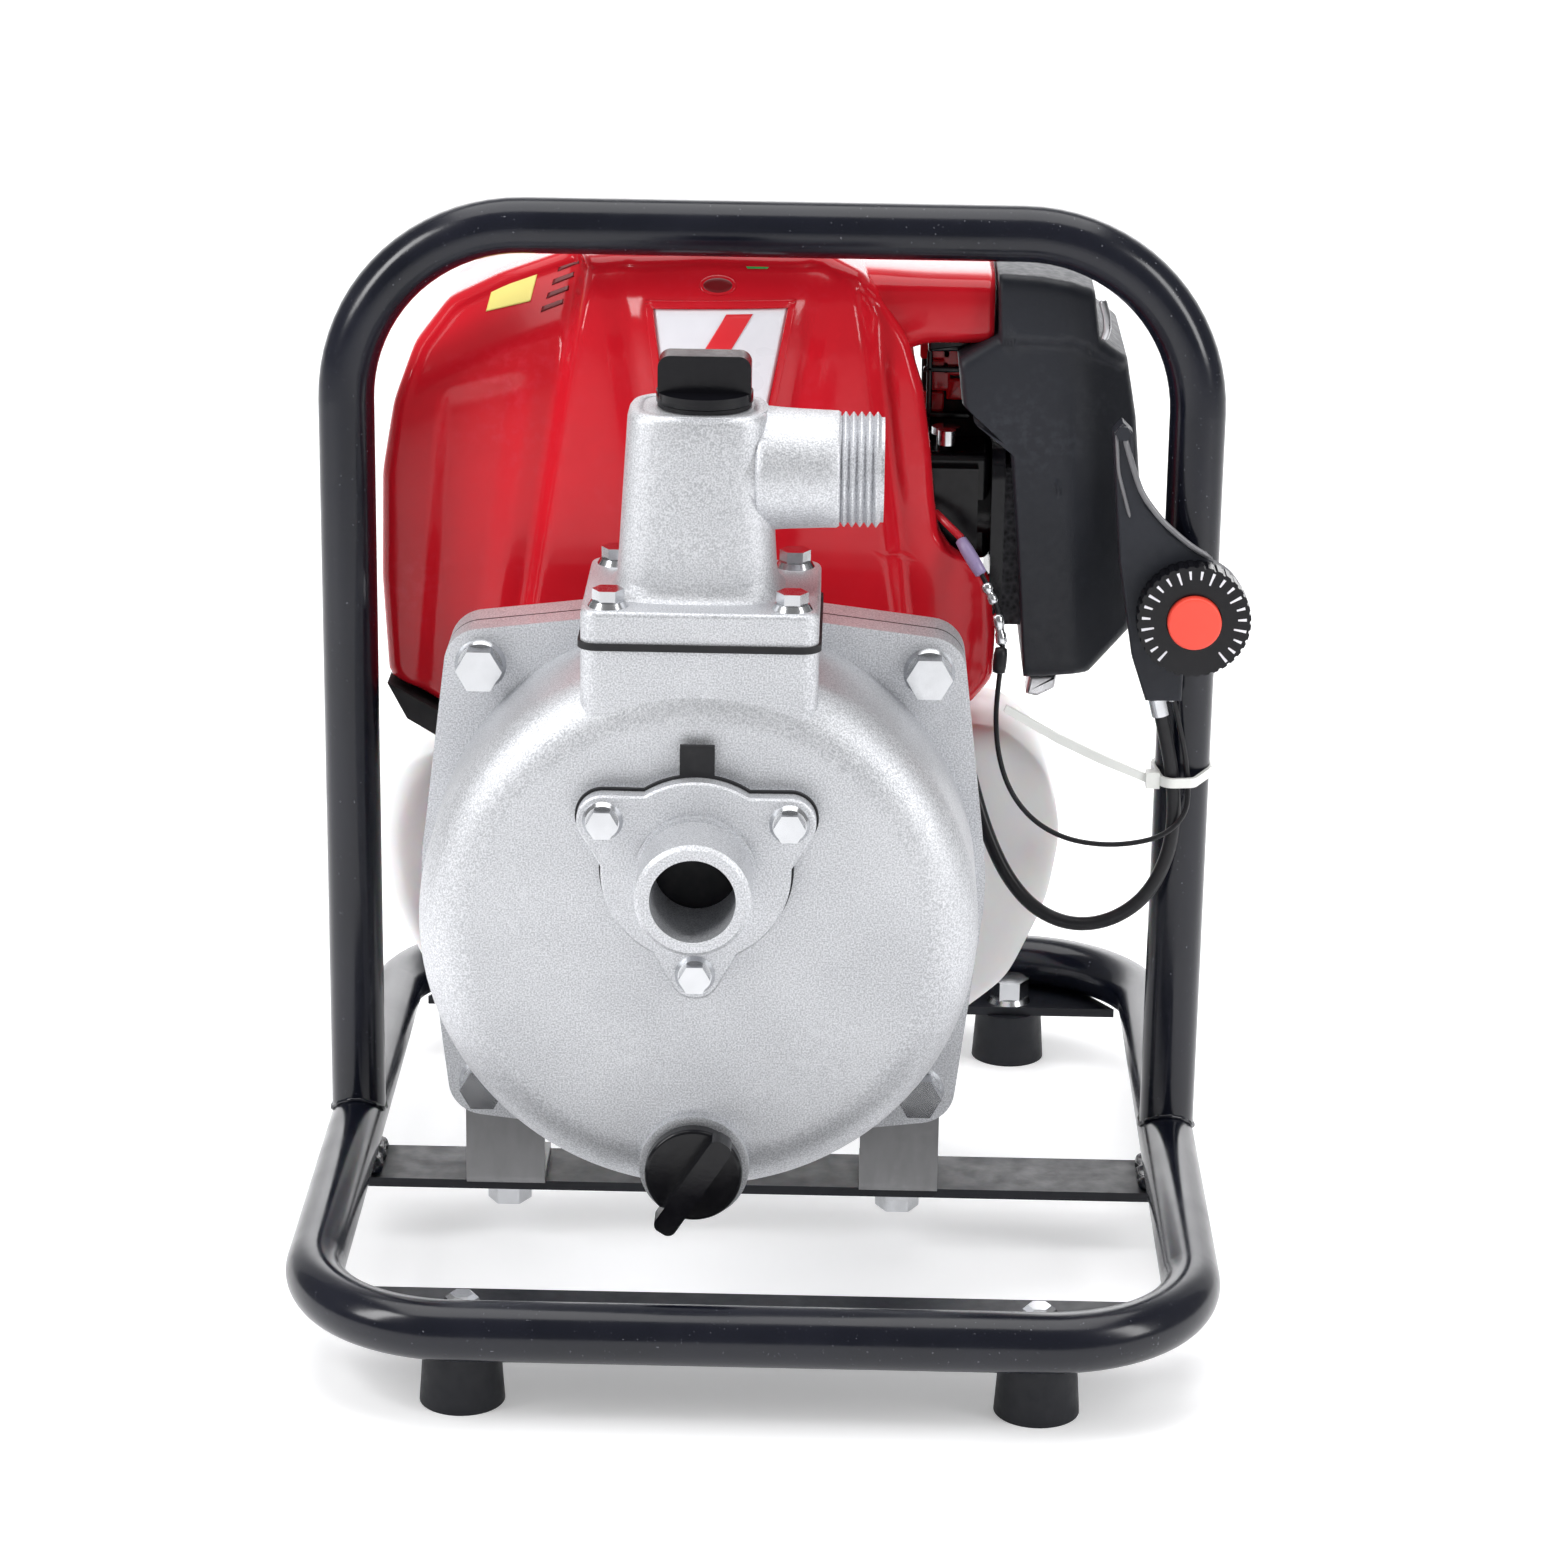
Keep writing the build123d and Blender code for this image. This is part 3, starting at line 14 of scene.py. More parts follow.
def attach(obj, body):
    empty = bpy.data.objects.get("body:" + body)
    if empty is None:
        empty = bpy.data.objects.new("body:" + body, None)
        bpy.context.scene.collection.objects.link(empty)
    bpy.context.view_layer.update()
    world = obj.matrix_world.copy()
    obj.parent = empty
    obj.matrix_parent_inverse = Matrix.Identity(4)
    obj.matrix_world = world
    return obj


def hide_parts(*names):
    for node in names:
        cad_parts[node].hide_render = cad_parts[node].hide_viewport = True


MM = 0.001
CRANK_X = -18.0

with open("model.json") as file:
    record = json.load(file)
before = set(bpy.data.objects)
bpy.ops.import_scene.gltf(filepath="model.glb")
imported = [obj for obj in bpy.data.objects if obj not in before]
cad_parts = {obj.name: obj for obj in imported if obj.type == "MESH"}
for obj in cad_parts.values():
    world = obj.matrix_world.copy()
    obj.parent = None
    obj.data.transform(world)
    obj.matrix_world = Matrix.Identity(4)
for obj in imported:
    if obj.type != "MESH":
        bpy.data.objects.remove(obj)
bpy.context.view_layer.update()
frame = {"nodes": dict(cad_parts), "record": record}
nodes = frame["nodes"]


# ------------------------------------------------------------------ camera and light
CAMERA_PLACE = (0.023954, -1.263311, 0.557224)
CAMERA_PITCH_TURN_ROLL = (18.1086, -0.8379, -0.8464)
CAMERA_LENS = 97.94


def place_camera():
    """Camera low in front of the pump, looking down at it by 18 degrees."""
    pitch, turn, roll = (math.radians(angle) for angle in CAMERA_PITCH_TURN_ROLL)
    forward = np.array([
        math.sin(turn) * math.cos(pitch), math.cos(turn) * math.cos(pitch), -math.sin(pitch)
    ])
    right0 = np.array([math.cos(turn), -math.sin(turn), 0.0])
    down0 = np.cross(forward, right0)
    right = math.cos(roll) * right0 + math.sin(roll) * down0
    down = -math.sin(roll) * right0 + math.cos(roll) * down0
    lens = bpy.data.cameras.new("camera")
    lens.lens = CAMERA_LENS
    lens.sensor_width = 36.0
    camera = bpy.data.objects.new("camera", lens)
    bpy.context.scene.collection.objects.link(camera)
    axes = np.stack([right, -down, -forward], axis=1)
    camera.matrix_world = Matrix.Translation(CAMERA_PLACE) @ Matrix(axes.tolist()).to_4x4()
    bpy.context.scene.camera = camera


def soft_light(name, place, aim, size, watts):
    """White rectangular softbox at `place`, facing `aim`."""
    lamp = bpy.data.lights.new(name, "AREA")
    lamp.shape = "RECTANGLE"
    lamp.size, lamp.size_y = size
    lamp.energy = watts
    holder = bpy.data.objects.new(name, lamp)
    bpy.context.scene.collection.objects.link(holder)
    away = np.array(place) - np.array(aim)
    away = away / np.linalg.norm(away)
    side = np.cross([0.0, 0.0, 1.0], away)
    side = side / np.linalg.norm(side)
    axes = np.stack([side, np.cross(away, side), away], axis=1)
    holder.matrix_world = Matrix.Translation(place) @ Matrix(axes.tolist()).to_4x4()


def studio():
    """Even white surroundings, two side boxes, a large box overhead and one that lights the backdrop."""
    world = bpy.data.worlds.new("studio")
    bpy.context.scene.world = world
    world.use_nodes = True
    back = world.node_tree.nodes["Background"]
    back.inputs["Color"].default_value = (1.0, 1.0, 1.0, 1.0)
    back.inputs["Strength"].default_value = 0.28
    soft_light("key_box", (-0.95, -0.55, 0.85), (0.0, 0.0, 0.16), (0.3, 0.8), 9.5)
    soft_light("fill_box", (1.05, -0.6, 0.7), (0.0, 0.0, 0.16), (0.3, 0.8), 7.0)
    soft_light("top_box", (0.0, 0.1, 1.5), (0.0, 0.05, 0.1), (1.5, 1.3), 18.0)
    soft_light("back_box", (0.0, 2.4, 1.6), (0.0, 3.4, 1.0), (3.0, 1.0), 60.0)
    bpy.context.scene.view_settings.view_transform = "Standard"


# ------------------------------------------------------------------ materials
def new_material(name, colour, roughness, metallic=0.0):
    """Material with object coordinates ready; returns it with its tree and main shader."""
    finish = bpy.data.materials.new(name)
    finish.use_nodes = True
    tree = finish.node_tree
    shader = tree.nodes["Principled BSDF"]
    shader.inputs["Base Color"].default_value = (*colour, 1.0)
    shader.inputs["Roughness"].default_value = roughness
    shader.inputs["Metallic"].default_value = metallic
    place = tree.nodes.new("ShaderNodeTexCoord")
    return finish, tree, shader, place.outputs["Object"]


def noise(tree, place, scale, detail=3.0, stretch=(1.0, 1.0, 1.0)):
    """Noise value on object coordinates, cycles per metre, stretched along the axes."""
    mapping = tree.nodes.new("ShaderNodeMapping")
    mapping.inputs["Scale"].default_value = stretch
    tree.links.new(place, mapping.inputs["Vector"])
    grain = tree.nodes.new("ShaderNodeTexNoise")
    grain.inputs["Scale"].default_value = scale
    grain.inputs["Detail"].default_value = detail
    tree.links.new(mapping.outputs["Vector"], grain.inputs["Vector"])
    return grain.outputs["Fac"]


def spread(tree, value, low, high, out_low, out_high):
    """Map a value's middle range to an output range."""
    remap = tree.nodes.new("ShaderNodeMapRange")
    remap.inputs["From Min"].default_value = low
    remap.inputs["From Max"].default_value = high
    remap.inputs["To Min"].default_value = out_low
    remap.inputs["To Max"].default_value = out_high
    tree.links.new(value, remap.inputs["Value"])
    return remap.outputs["Result"]


def tint(tree, value, first, second):
    """Colour between two tones by a value."""
    ramp = tree.nodes.new("ShaderNodeValToRGB")
    ramp.color_ramp.elements[0].color = (*first, 1.0)
    ramp.color_ramp.elements[1].color = (*second, 1.0)
    tree.links.new(value, ramp.inputs["Fac"])
    return ramp.outputs["Color"]


def bump(tree, shader, value, depth, strength=1.0):
    """Relief of `depth` millimetres on the shader's normal, on top of any relief it has."""
    relief = tree.nodes.new("ShaderNodeBump")
    relief.inputs["Strength"].default_value = strength
    relief.inputs["Distance"].default_value = depth * MM
    tree.links.new(value, relief.inputs["Height"])
    if shader.inputs["Normal"].links:
        tree.links.new(shader.inputs["Normal"].links[0].from_socket, relief.inputs["Normal"])
    tree.links.new(relief.outputs["Normal"], shader.inputs["Normal"])


def scuffs(tree, shader, place, colour_socket, worn, width=0.7):
    """Lighter rubbed patches where two coarse noises peak together."""
    broad = spread(tree, noise(tree, place, 34.0, 4.0), 0.5, 0.72, 0.0, 1.0)
    fine = spread(tree, noise(tree, place, 330.0, 3.0), 0.46, 0.66, 0.0, width)
    both = tree.nodes.new("ShaderNodeMath")
    both.operation = "MULTIPLY"
    tree.links.new(broad, both.inputs[0])
    tree.links.new(fine, both.inputs[1])
    mix = tree.nodes.new("ShaderNodeMix")
    mix.data_type = "RGBA"
    tree.links.new(both.outputs["Value"], mix.inputs["Factor"])
    tree.links.new(colour_socket, mix.inputs["A"])
    mix.inputs["B"].default_value = (*worn, 1.0)
    tree.links.new(mix.outputs["Result"], shader.inputs["Base Color"])


def lacquered_tube():
    """Glossy blue-black powder coat with slight orange peel and dust specks."""
    finish, tree, shader, place = new_material("lacquered_tube", (0.012, 0.014, 0.024), 0.2)
    shader.inputs["Specular IOR Level"].default_value = 0.34
    cloud = spread(tree, noise(tree, place, 30.0), 0.35, 0.65, 0.0, 1.0)
    tone = tint(tree, cloud, (0.004, 0.005, 0.010), (0.007, 0.008, 0.015))
    dust = spread(tree, noise(tree, place, 1100.0, 1.0), 0.74, 0.8, 0.0, 0.35)
    mix = tree.nodes.new("ShaderNodeMix")
    mix.data_type = "RGBA"
    tree.links.new(dust, mix.inputs["Factor"])
    tree.links.new(tone, mix.inputs["A"])
    mix.inputs["B"].default_value = (0.35, 0.36, 0.4, 1.0)
    tree.links.new(mix.outputs["Result"], shader.inputs["Base Color"])
    gloss = spread(tree, noise(tree, place, 60.0), 0.3, 0.7, 0.16, 0.27)
    tree.links.new(gloss, shader.inputs["Roughness"])
    shader.inputs["Coat Weight"].default_value = 0.12
    shader.inputs["Coat Roughness"].default_value = 0.12
    bump(tree, shader, noise(tree, place, 240.0, 1.0), 0.05, 0.5)
    return finish


def cast_metal(name, light, dark, grain, depth, roughness=(0.34, 0.5)):
    """Blasted casting: fine bright grain, clouded tone and rubbed patches."""
    finish, tree, shader, place = new_material(name, light, roughness[0], 0.75)
    cloud = spread(tree, noise(tree, place, 26.0, 4.0), 0.3, 0.7, 0.0, 0.22)
    sand = spread(tree, noise(tree, place, grain, 1.0), 0.35, 0.65, 0.0, 0.78)
    total = tree.nodes.new("ShaderNodeMath")
    total.operation = "ADD"
    tree.links.new(cloud, total.inputs[0])
    tree.links.new(sand, total.inputs[1])
    tone = tint(tree, total.outputs["Value"], dark, light)
    scuffs(tree, shader, place, tone, tuple(min(1.0, c * 1.06) for c in light), 0.3)
    gloss = spread(tree, noise(tree, place, grain * 0.7, 2.0), 0.3, 0.7, *roughness)
    tree.links.new(gloss, shader.inputs["Roughness"])
    bump(tree, shader, noise(tree, place, grain, 2.0), depth, 0.6)
    return finish


def turned_metal(name, colour, roughness, scratch=(1.0, 1.0, 1.0), metallic=1.0):
    """Plated or machined steel with faint streaks and uneven gloss."""
    finish, tree, shader, place = new_material(name, colour, roughness, metallic)
    tone = tint(tree, spread(tree, noise(tree, place, 120.0, 3.0, scratch), 0.3, 0.7, 0.0, 1.0),
                tuple(c * 0.9 for c in colour), colour)
    scuffs(tree, shader, place, tone, tuple(min(1.0, c * 1.2) for c in colour), 0.5)
    gloss = spread(tree, noise(tree, place, 300.0, 3.0, scratch), 0.3, 0.7, roughness * 0.85, roughness * 1.2)
    tree.links.new(gloss, shader.inputs["Roughness"])
    bump(tree, shader, noise(tree, place, 1400.0, 1.0, scratch), 0.006, 0.25)
    return finish


def moulded(name, colour, roughness, grain, depth, coat=0.0, wear=None):
    """Moulded plastic or rubber: fine grain, faint flow marks and slight scuffs."""
    finish, tree, shader, place = new_material(name, colour, roughness)
    tone = tint(tree, spread(tree, noise(tree, place, 18.0, 4.0), 0.3, 0.7, 0.0, 1.0),
                tuple(c * 0.86 for c in colour), tuple(min(1.0, c * 1.1) for c in colour))
    scuffs(tree, shader, place, tone, wear or tuple(min(1.0, c * 1.5 + 0.01) for c in colour), 0.5)
    if max(colour) < 0.05:
        shader.inputs["Specular IOR Level"].default_value = 0.3
    gloss = spread(tree, noise(tree, place, grain * 0.4, 3.0), 0.3, 0.7, roughness * 0.85, roughness * 1.2)
    tree.links.new(gloss, shader.inputs["Roughness"])
    shader.inputs["Coat Weight"].default_value = coat
    shader.inputs["Coat Roughness"].default_value = 0.08
    bump(tree, shader, noise(tree, place, grain, 2.0), depth, 0.5)
    return finish


def tank_plastic():
    """Milky polythene that light passes into."""
    finish, tree, shader, place = new_material("tank_plastic", (0.86, 0.87, 0.89), 0.38)
    cloud = spread(tree, noise(tree, place, 22.0, 3.0), 0.3, 0.7, 0.0, 1.0)
    tone = tint(tree, cloud, (0.88, 0.885, 0.895), (0.95, 0.955, 0.96))
    tree.links.new(tone, shader.inputs["Base Color"])
    gloss = spread(tree, noise(tree, place, 90.0, 2.0), 0.3, 0.7, 0.32, 0.46)
    tree.links.new(gloss, shader.inputs["Roughness"])
    shader.inputs["Subsurface Weight"].default_value = 0.4
    shader.inputs["Subsurface Scale"].default_value = 0.012
    bump(tree, shader, noise(tree, place, 500.0, 2.0), 0.04, 0.4)
    return finish


def foam():
    """Open reticulated foam."""
    finish, tree, shader, place = new_material("filter_foam", (0.05, 0.05, 0.055), 0.9)
    cells = tree.nodes.new("ShaderNodeTexVoronoi")
    cells.inputs["Scale"].default_value = 620.0
    tree.links.new(place, cells.inputs["Vector"])
    tone = tint(tree, cells.outputs["Distance"], (0.012, 0.012, 0.014), (0.09, 0.09, 0.1))
    tree.links.new(tone, shader.inputs["Base Color"])
    bump(tree, shader, cells.outputs["Distance"], 0.6, 0.8)
    return finish


FINISH = {}


def make_finishes():
    """One finish for each material slot of the record, then those of the added pieces."""
    FINISH["frame_black"] = lacquered_tube()
    FINISH["cast_aluminium"] = cast_metal(
        "blasted_aluminium", (0.77, 0.78, 0.805), (0.43, 0.44, 0.465), 2000.0, 0.24, (0.42, 0.6))
    FINISH["engine_casting"] = cast_metal(
        "engine_casting", (0.60, 0.60, 0.61), (0.42, 0.42, 0.43), 900.0, 0.1)
    FINISH["zinc_steel"] = turned_metal("bright_zinc", (0.62, 0.63, 0.65), 0.21)
    FINISH["raw_steel"] = turned_metal("mill_steel", (0.27, 0.27, 0.275), 0.46, (1.0, 1.0, 0.35))
    FINISH["engine_steel"] = turned_metal("machined_steel", (0.55, 0.55, 0.56), 0.33)
    FINISH["clutch_iron"] = turned_metal("clutch_iron", (0.18, 0.17, 0.17), 0.55)
    FINISH["feet_rubber"] = moulded("foot_rubber", (0.009, 0.010, 0.014), 0.5, 500.0, 0.12)
    FINISH["seal_rubber"] = moulded("seal_rubber", (0.014, 0.014, 0.016), 0.55, 600.0, 0.08)
    FINISH["black_plastic"] = moulded("black_plastic", (0.004, 0.004, 0.006), 0.22, 700.0, 0.05)
    FINISH["red_plastic"] = moulded("red_shell", (0.58, 0.011, 0.021), 0.13, 260.0, 0.02, coat=0.05,
                                    wear=(0.62, 0.03, 0.05))
    red_shader = FINISH["red_plastic"].node_tree.nodes["Principled BSDF"]
    red_shader.inputs["Specular IOR Level"].default_value = 0.27
    FINISH["charcoal_plastic"] = moulded("charcoal_plastic", (0.020, 0.022, 0.029), 0.45, 1100.0, 0.1)
    FINISH["tank_plastic"] = tank_plastic()
    FINISH["orange_button"] = moulded("orange_button", (0.95, 0.075, 0.045), 0.42, 400.0, 0.05)
    FINISH["cable_black"] = moulded("cable_sheath", (0.010, 0.010, 0.012), 0.34, 800.0, 0.05)
    FINISH["nylon_white"] = moulded("white_nylon", (0.80, 0.81, 0.78), 0.42, 400.0, 0.05)
    FINISH["foam_grey"] = foam()
    FINISH["bar_black"] = moulded("bar_black", (0.006, 0.007, 0.011), 0.42, 420.0, 0.06)
    # darker red painted shade for the insides of the vent slots and the screw hole
    FINISH["slot_shade_red"] = moulded("slot_shade_red", (0.16, 0.003, 0.006), 0.3, 300.0, 0.02)
    # light grey painted highlight for the bright rim along the black control arm
    FINISH["arm_edge_highlight"] = moulded("arm_edge_highlight", (0.16, 0.16, 0.17), 0.16, 500.0, 0.02, coat=0.4)
    FINISH["clip_grey"] = turned_metal("clip_grey", (0.62, 0.62, 0.64), 0.3, metallic=0.8)
    FINISH["heat_black"] = moulded("heat_black", (0.018, 0.018, 0.02), 0.6, 500.0, 0.1)
    FINISH["decal_white"] = moulded("decal_white", (0.82, 0.82, 0.87), 0.3, 300.0, 0.02)
    FINISH["decal_red"] = moulded("decal_red", (0.75, 0.03, 0.04), 0.3, 300.0, 0.02)
    FINISH["decal_yellow"] = moulded("decal_yellow", (0.90, 0.78, 0.20), 0.35, 300.0, 0.02)
    FINISH["decal_green"] = moulded("decal_green", (0.03, 0.45, 0.10), 0.35, 300.0, 0.02)
    FINISH["deep_black"] = moulded("deep_black", (0.006, 0.006, 0.007), 0.6, 300.0, 0.02)
    FINISH["red_lead"] = moulded("red_lead", (0.45, 0.01, 0.02), 0.3, 300.0, 0.02)
    FINISH["violet_sleeve"] = moulded("violet_sleeve", (0.30, 0.24, 0.42), 0.3, 300.0, 0.02)


def dress_nodes():
    """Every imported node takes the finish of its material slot, but two that are a plainer black."""
    for entry in frame["record"]["subparts"]:
        mesh = nodes[entry["node"]].data
        mesh.materials.clear()
        mesh.materials.append(FINISH[entry["material_slot"]])
    nodes["carburettor"].data.materials[0] = FINISH["black_plastic"]
    nodes["cross_bars"].data.materials[0] = FINISH["bar_black"]


def piece(name, points, faces, finish, body="frame", smooth=True):
    """Mesh object from points in millimetres and a list of faces, riding on a body."""
    mesh = bpy.data.meshes.new(name)
    mesh.from_pydata((np.asarray(points, dtype=float) * MM).tolist(), [], faces)
    mesh.polygons.foreach_set("use_smooth", np.full(len(mesh.polygons), smooth))
    mesh.materials.append(FINISH[finish])
    mesh.update()
    made = bpy.data.objects.new(name, mesh)
    bpy.context.scene.collection.objects.link(made)
    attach(made, body)
    return made


def grid_faces(rows, columns, wrap=True, start=0, flip=False):
    """Quads of a rows by columns grid of points; `wrap` joins the last column to the first."""
    last = columns if wrap else columns - 1
    row, column = np.meshgrid(np.arange(rows - 1), np.arange(last), indexing="ij")
    following = (column + 1) % columns
    here, below = row * columns, (row + 1) * columns
    quads = np.stack([here + column, here + following, below + following, below + column], axis=-1)
    quads = quads.reshape(-1, 4) + start
    if flip:
        quads = quads[:, ::-1]
    return quads.tolist()


def end_caps(rows, columns, flip=False):
    """The two faces that close a wrapped grid, on its first row and its last."""
    first = list(range(columns))
    last = list(range((rows - 1) * columns, rows * columns))
    return [first, last[::-1]] if flip else [first[::-1], last]


def fan(hub, first, count, flip=False):
    """Triangles between a hub point and the ring of `count` points that starts at `first`."""
    here = np.arange(count)
    following = (here + 1) % count
    if flip:
        here, following = following, here
    return np.stack([np.full(count, hub), first + here, first + following], axis=1).tolist()


def smooth_loop(corners, count, rounds=2):
    """Closed curve through a polygon: evenly spaced points, then averaged with their neighbours."""
    corners = np.asarray(corners, dtype=float)
    closed = np.vstack([corners, corners[:1]])
    steps = np.linalg.norm(np.diff(closed, axis=0), axis=1)
    along = np.concatenate([[0.0], np.cumsum(steps)])
    at = np.linspace(0.0, along[-1], count, endpoint=False)
    loop = np.stack([np.interp(at, along, closed[:, k]) for k in range(2)], axis=1)
    for _ in range(rounds):
        loop = 0.25 * np.roll(loop, 1, axis=0) + 0.5 * loop + 0.25 * np.roll(loop, -1, axis=0)
    return loop


def outward(loop):
    """Unit normals of a closed loop in its plane, pointing away from the area it holds."""
    along = np.roll(loop, -1, axis=0) - np.roll(loop, 1, axis=0)
    along /= np.linalg.norm(along, axis=1, keepdims=True)
    normal = np.stack([along[:, 1], -along[:, 0]], axis=1)
    x, z = loop[:, 0], loop[:, 1]
    area = 0.5 * np.sum(x * np.roll(z, -1) - np.roll(x, -1) * z)
    return normal if area > 0 else -normal


def rounded_slab(name, corners, y0, y1, radius, finish, count=240, rounds=2, steps=6, **kept):
    """Slab between two Y planes: towards each plane the loop is drawn in by r(1 - cos a) while the depth
    is r(1 - sin a) short of it, for a from 0 to a quarter turn."""
    loop = smooth_loop(corners, count, rounds)
    normal = outward(loop)
    angle = np.linspace(0.0, math.pi / 2, steps)
    rows = [(radius * (1 - math.cos(a)), y0 + radius * (1 - math.sin(a))) for a in angle[::-1]]
    rows += [(radius * (1 - math.cos(a)), y1 - radius * (1 - math.sin(a))) for a in angle]
    rings = [(loop - normal * drawn, y) for drawn, y in rows]
    points = np.concatenate([
        np.column_stack([ring[:, 0], np.full(count, y), ring[:, 1]]) for ring, y in rings
    ])
    x, z = loop[:, 0], loop[:, 1]
    turns_left = np.sum(x * np.roll(z, -1) - np.roll(x, -1) * z) > 0
    faces = grid_faces(len(rows), count, flip=turns_left) + end_caps(len(rows), count, turns_left)
    return piece(name, points, faces, finish, **kept)


def lathe(name, start, end, profile, finish, count=20, **kept):
    """Turned piece between two points: start + share(end - start) + radius(aside cos a + up sin a), where
    each pair of the profile is a share of the way and a radius."""
    start = np.asarray(start, dtype=float)
    end = np.asarray(end, dtype=float)
    axis = (end - start) / np.linalg.norm(end - start)
    aside = np.cross(axis, [0.0, 1.0, 0.2])
    aside /= np.linalg.norm(aside)
    up = np.cross(axis, aside)
    angle = np.linspace(0.0, 2 * math.pi, count, endpoint=False)
    ring = np.cos(angle)[:, None] * aside + np.sin(angle)[:, None] * up
    points = np.concatenate([start + (end - start) * share + ring * radius for share, radius in profile])
    faces = grid_faces(len(profile), count) + end_caps(len(profile), count)
    return piece(name, points, faces, finish, **kept)


def rise(value, low, high):
    """Smooth step 3t^2 - 2t^3 from 0 below `low` to 1 above `high`."""
    share = np.clip((value - low) / (high - low), 0.0, 1.0)
    return share * share * (3.0 - 2.0 * share)


# ------------------------------------------------------------------ cords
CABLE_ROUTE = [
    (120.8, -13.0, 173.0), (122.9, -12.9, 164.5), (125.2, -12.4, 153.0), (126.4, -12.4, 140.0),
    (124.8, -12.8, 126.5), (118.6, -13.0, 113.5), (108.0, -12.0, 105.2), (96.0, -10.2, 102.8),
    (84.6, -7.2, 106.6), (75.8, -3.2, 115.6), (69.4, 1.0, 128.0), (64.6, 5.0, 142.0), (61.2, 9.0, 156.0),
    (59.0, 12.6, 170.0), (57.8, 15.6, 183.5), (57.4, 18.0, 196.0), (57.4, 19.4, 207.5),
]
WIRE_ROUTE = [
    (124.4, -13.4, 178.0), (126.6, -13.2, 169.6), (128.8, -12.6, 160.0), (130.2, -12.8, 150.5),
    (129.8, -15.4, 142.0), (123.4, -17.2, 135.4), (113.6, -17.0, 132.4), (102.6, -15.8, 131.4),
    (91.6, -14.2, 133.0), (82.0, -12.2, 138.2), (75.0, -10.2, 147.0), (71.4, -8.2, 158.0),
    (70.4, -6.2, 169.4), (71.2, -4.2, 180.6), (72.4, -2.4, 191.0), (71.0, -1.0, 200.6),
    (67.0, 0.6, 209.4), (62.2, 4.0, 216.8), (57.6, 9.2, 223.2), (51.8, 14.6, 228.2),
    (44.4, 18.2, 231.6), (36.8, 20.0, 232.6),
]


def cord_curve(name, route, diameter, finish, node):
    """Round cord on a smooth spline that has the route's points as its control points."""
    curve = bpy.data.curves.new(name, "CURVE")
    curve.dimensions = "3D"
    spline = curve.splines.new("NURBS")
    spline.points.add(len(route) - 1)
    weighted = np.column_stack([np.array(route) * MM, np.ones(len(route))])
    spline.points.foreach_set("co", weighted.ravel())
    spline.order_u = 3
    spline.use_endpoint_u = True
    spline.resolution_u = 10
    curve.bevel_depth = diameter * MM / 2
    curve.bevel_resolution = 5
    curve.use_fill_caps = True
    curve.materials.append(FINISH[finish])
    made = bpy.data.objects.new(name, curve)
    bpy.context.scene.collection.objects.link(made)
    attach(made, "frame")
    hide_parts(node)
    return made


def cords():
    """Throttle cable and stop wire, each from the control arm through its loop to the engine."""
    cable = cord_curve("throttle_cable_sheath", CABLE_ROUTE, 4.4, "cable_black", "throttle_cable")
    wire = cord_curve("stop_wire_lead", WIRE_ROUTE, 1.6, "cable_black", "stop_wire")
    sleeves = wire_fittings()


def wire_fittings():
    """Crimped joints on the stop wire: a black sleeve, two bright bullets and a violet sleeve."""
    barrel = [(0.0, 0.9), (0.04, 1.9), (0.3, 2.1), (0.7, 2.1), (0.96, 1.8), (1.0, 0.9)]
    bullet = [(0.0, 0.9), (0.1, 1.7), (0.35, 1.7), (0.42, 1.35), (0.58, 1.35), (0.65, 1.9), (0.92, 1.9),
              (1.0, 0.9)]
    lead = [(0.0, 0.9), (0.03, 1.2), (0.97, 1.2), (1.0, 0.9)]
    return [
        lathe("stop_lead_red", (58.9, 8.0, 222.0), (50.6, 14.9, 228.5), lead, "red_lead"),
        lathe("joint_sleeve_black", (71.1, -4.0, 182.5), (71.7, -2.6, 190.5), barrel, "cable_black"),
        lathe("joint_bullet_low", (71.9, -2.4, 191.0), (70.2, -0.9, 200.8), bullet, "zinc_steel"),
        lathe("joint_bullet_high", (69.3, -0.3, 203.6), (66.2, 1.0, 210.0), bullet, "zinc_steel"),
        lathe("joint_sleeve_violet", (65.2, 1.9, 212.2), (58.4, 8.4, 221.8), barrel, "violet_sleeve"),
    ]


# ------------------------------------------------------------------ engine shroud
SHROUD_CENTRE = (-25.0, 225.0)
SHROUD_OUTLINE = [
    (-101.0, 163.0), (-119.0, 173.0), (-120.8, 205.0), (-120.2, 238.0), (-116.5, 260.0), (-110.5, 277.0),
    (-100.5, 289.5), (-85.0, 297.0), (-70.0, 302.5), (-59.0, 306.5), (-20.0, 308.6), (16.0, 308.0),
    (27.0, 303.5), (34.0, 294.0),
    (41.0, 283.0), (46.0, 268.0), (48.6, 250.0), (50.4, 232.0), (52.0, 222.5), (56.5, 216.0), (64.0, 212.6),
    (69.3, 206.0), (70.4, 190.0), (70.0, 175.0), (62.4, 166.0), (0.0, 163.5), (-60.0, 162.0),
]


def line_x(z, low, high):
    """X of a straight edge between two (x, z) points, at height z."""
    return low[0] + (high[0] - low[0]) * (z - low[1]) / (high[1] - low[1])


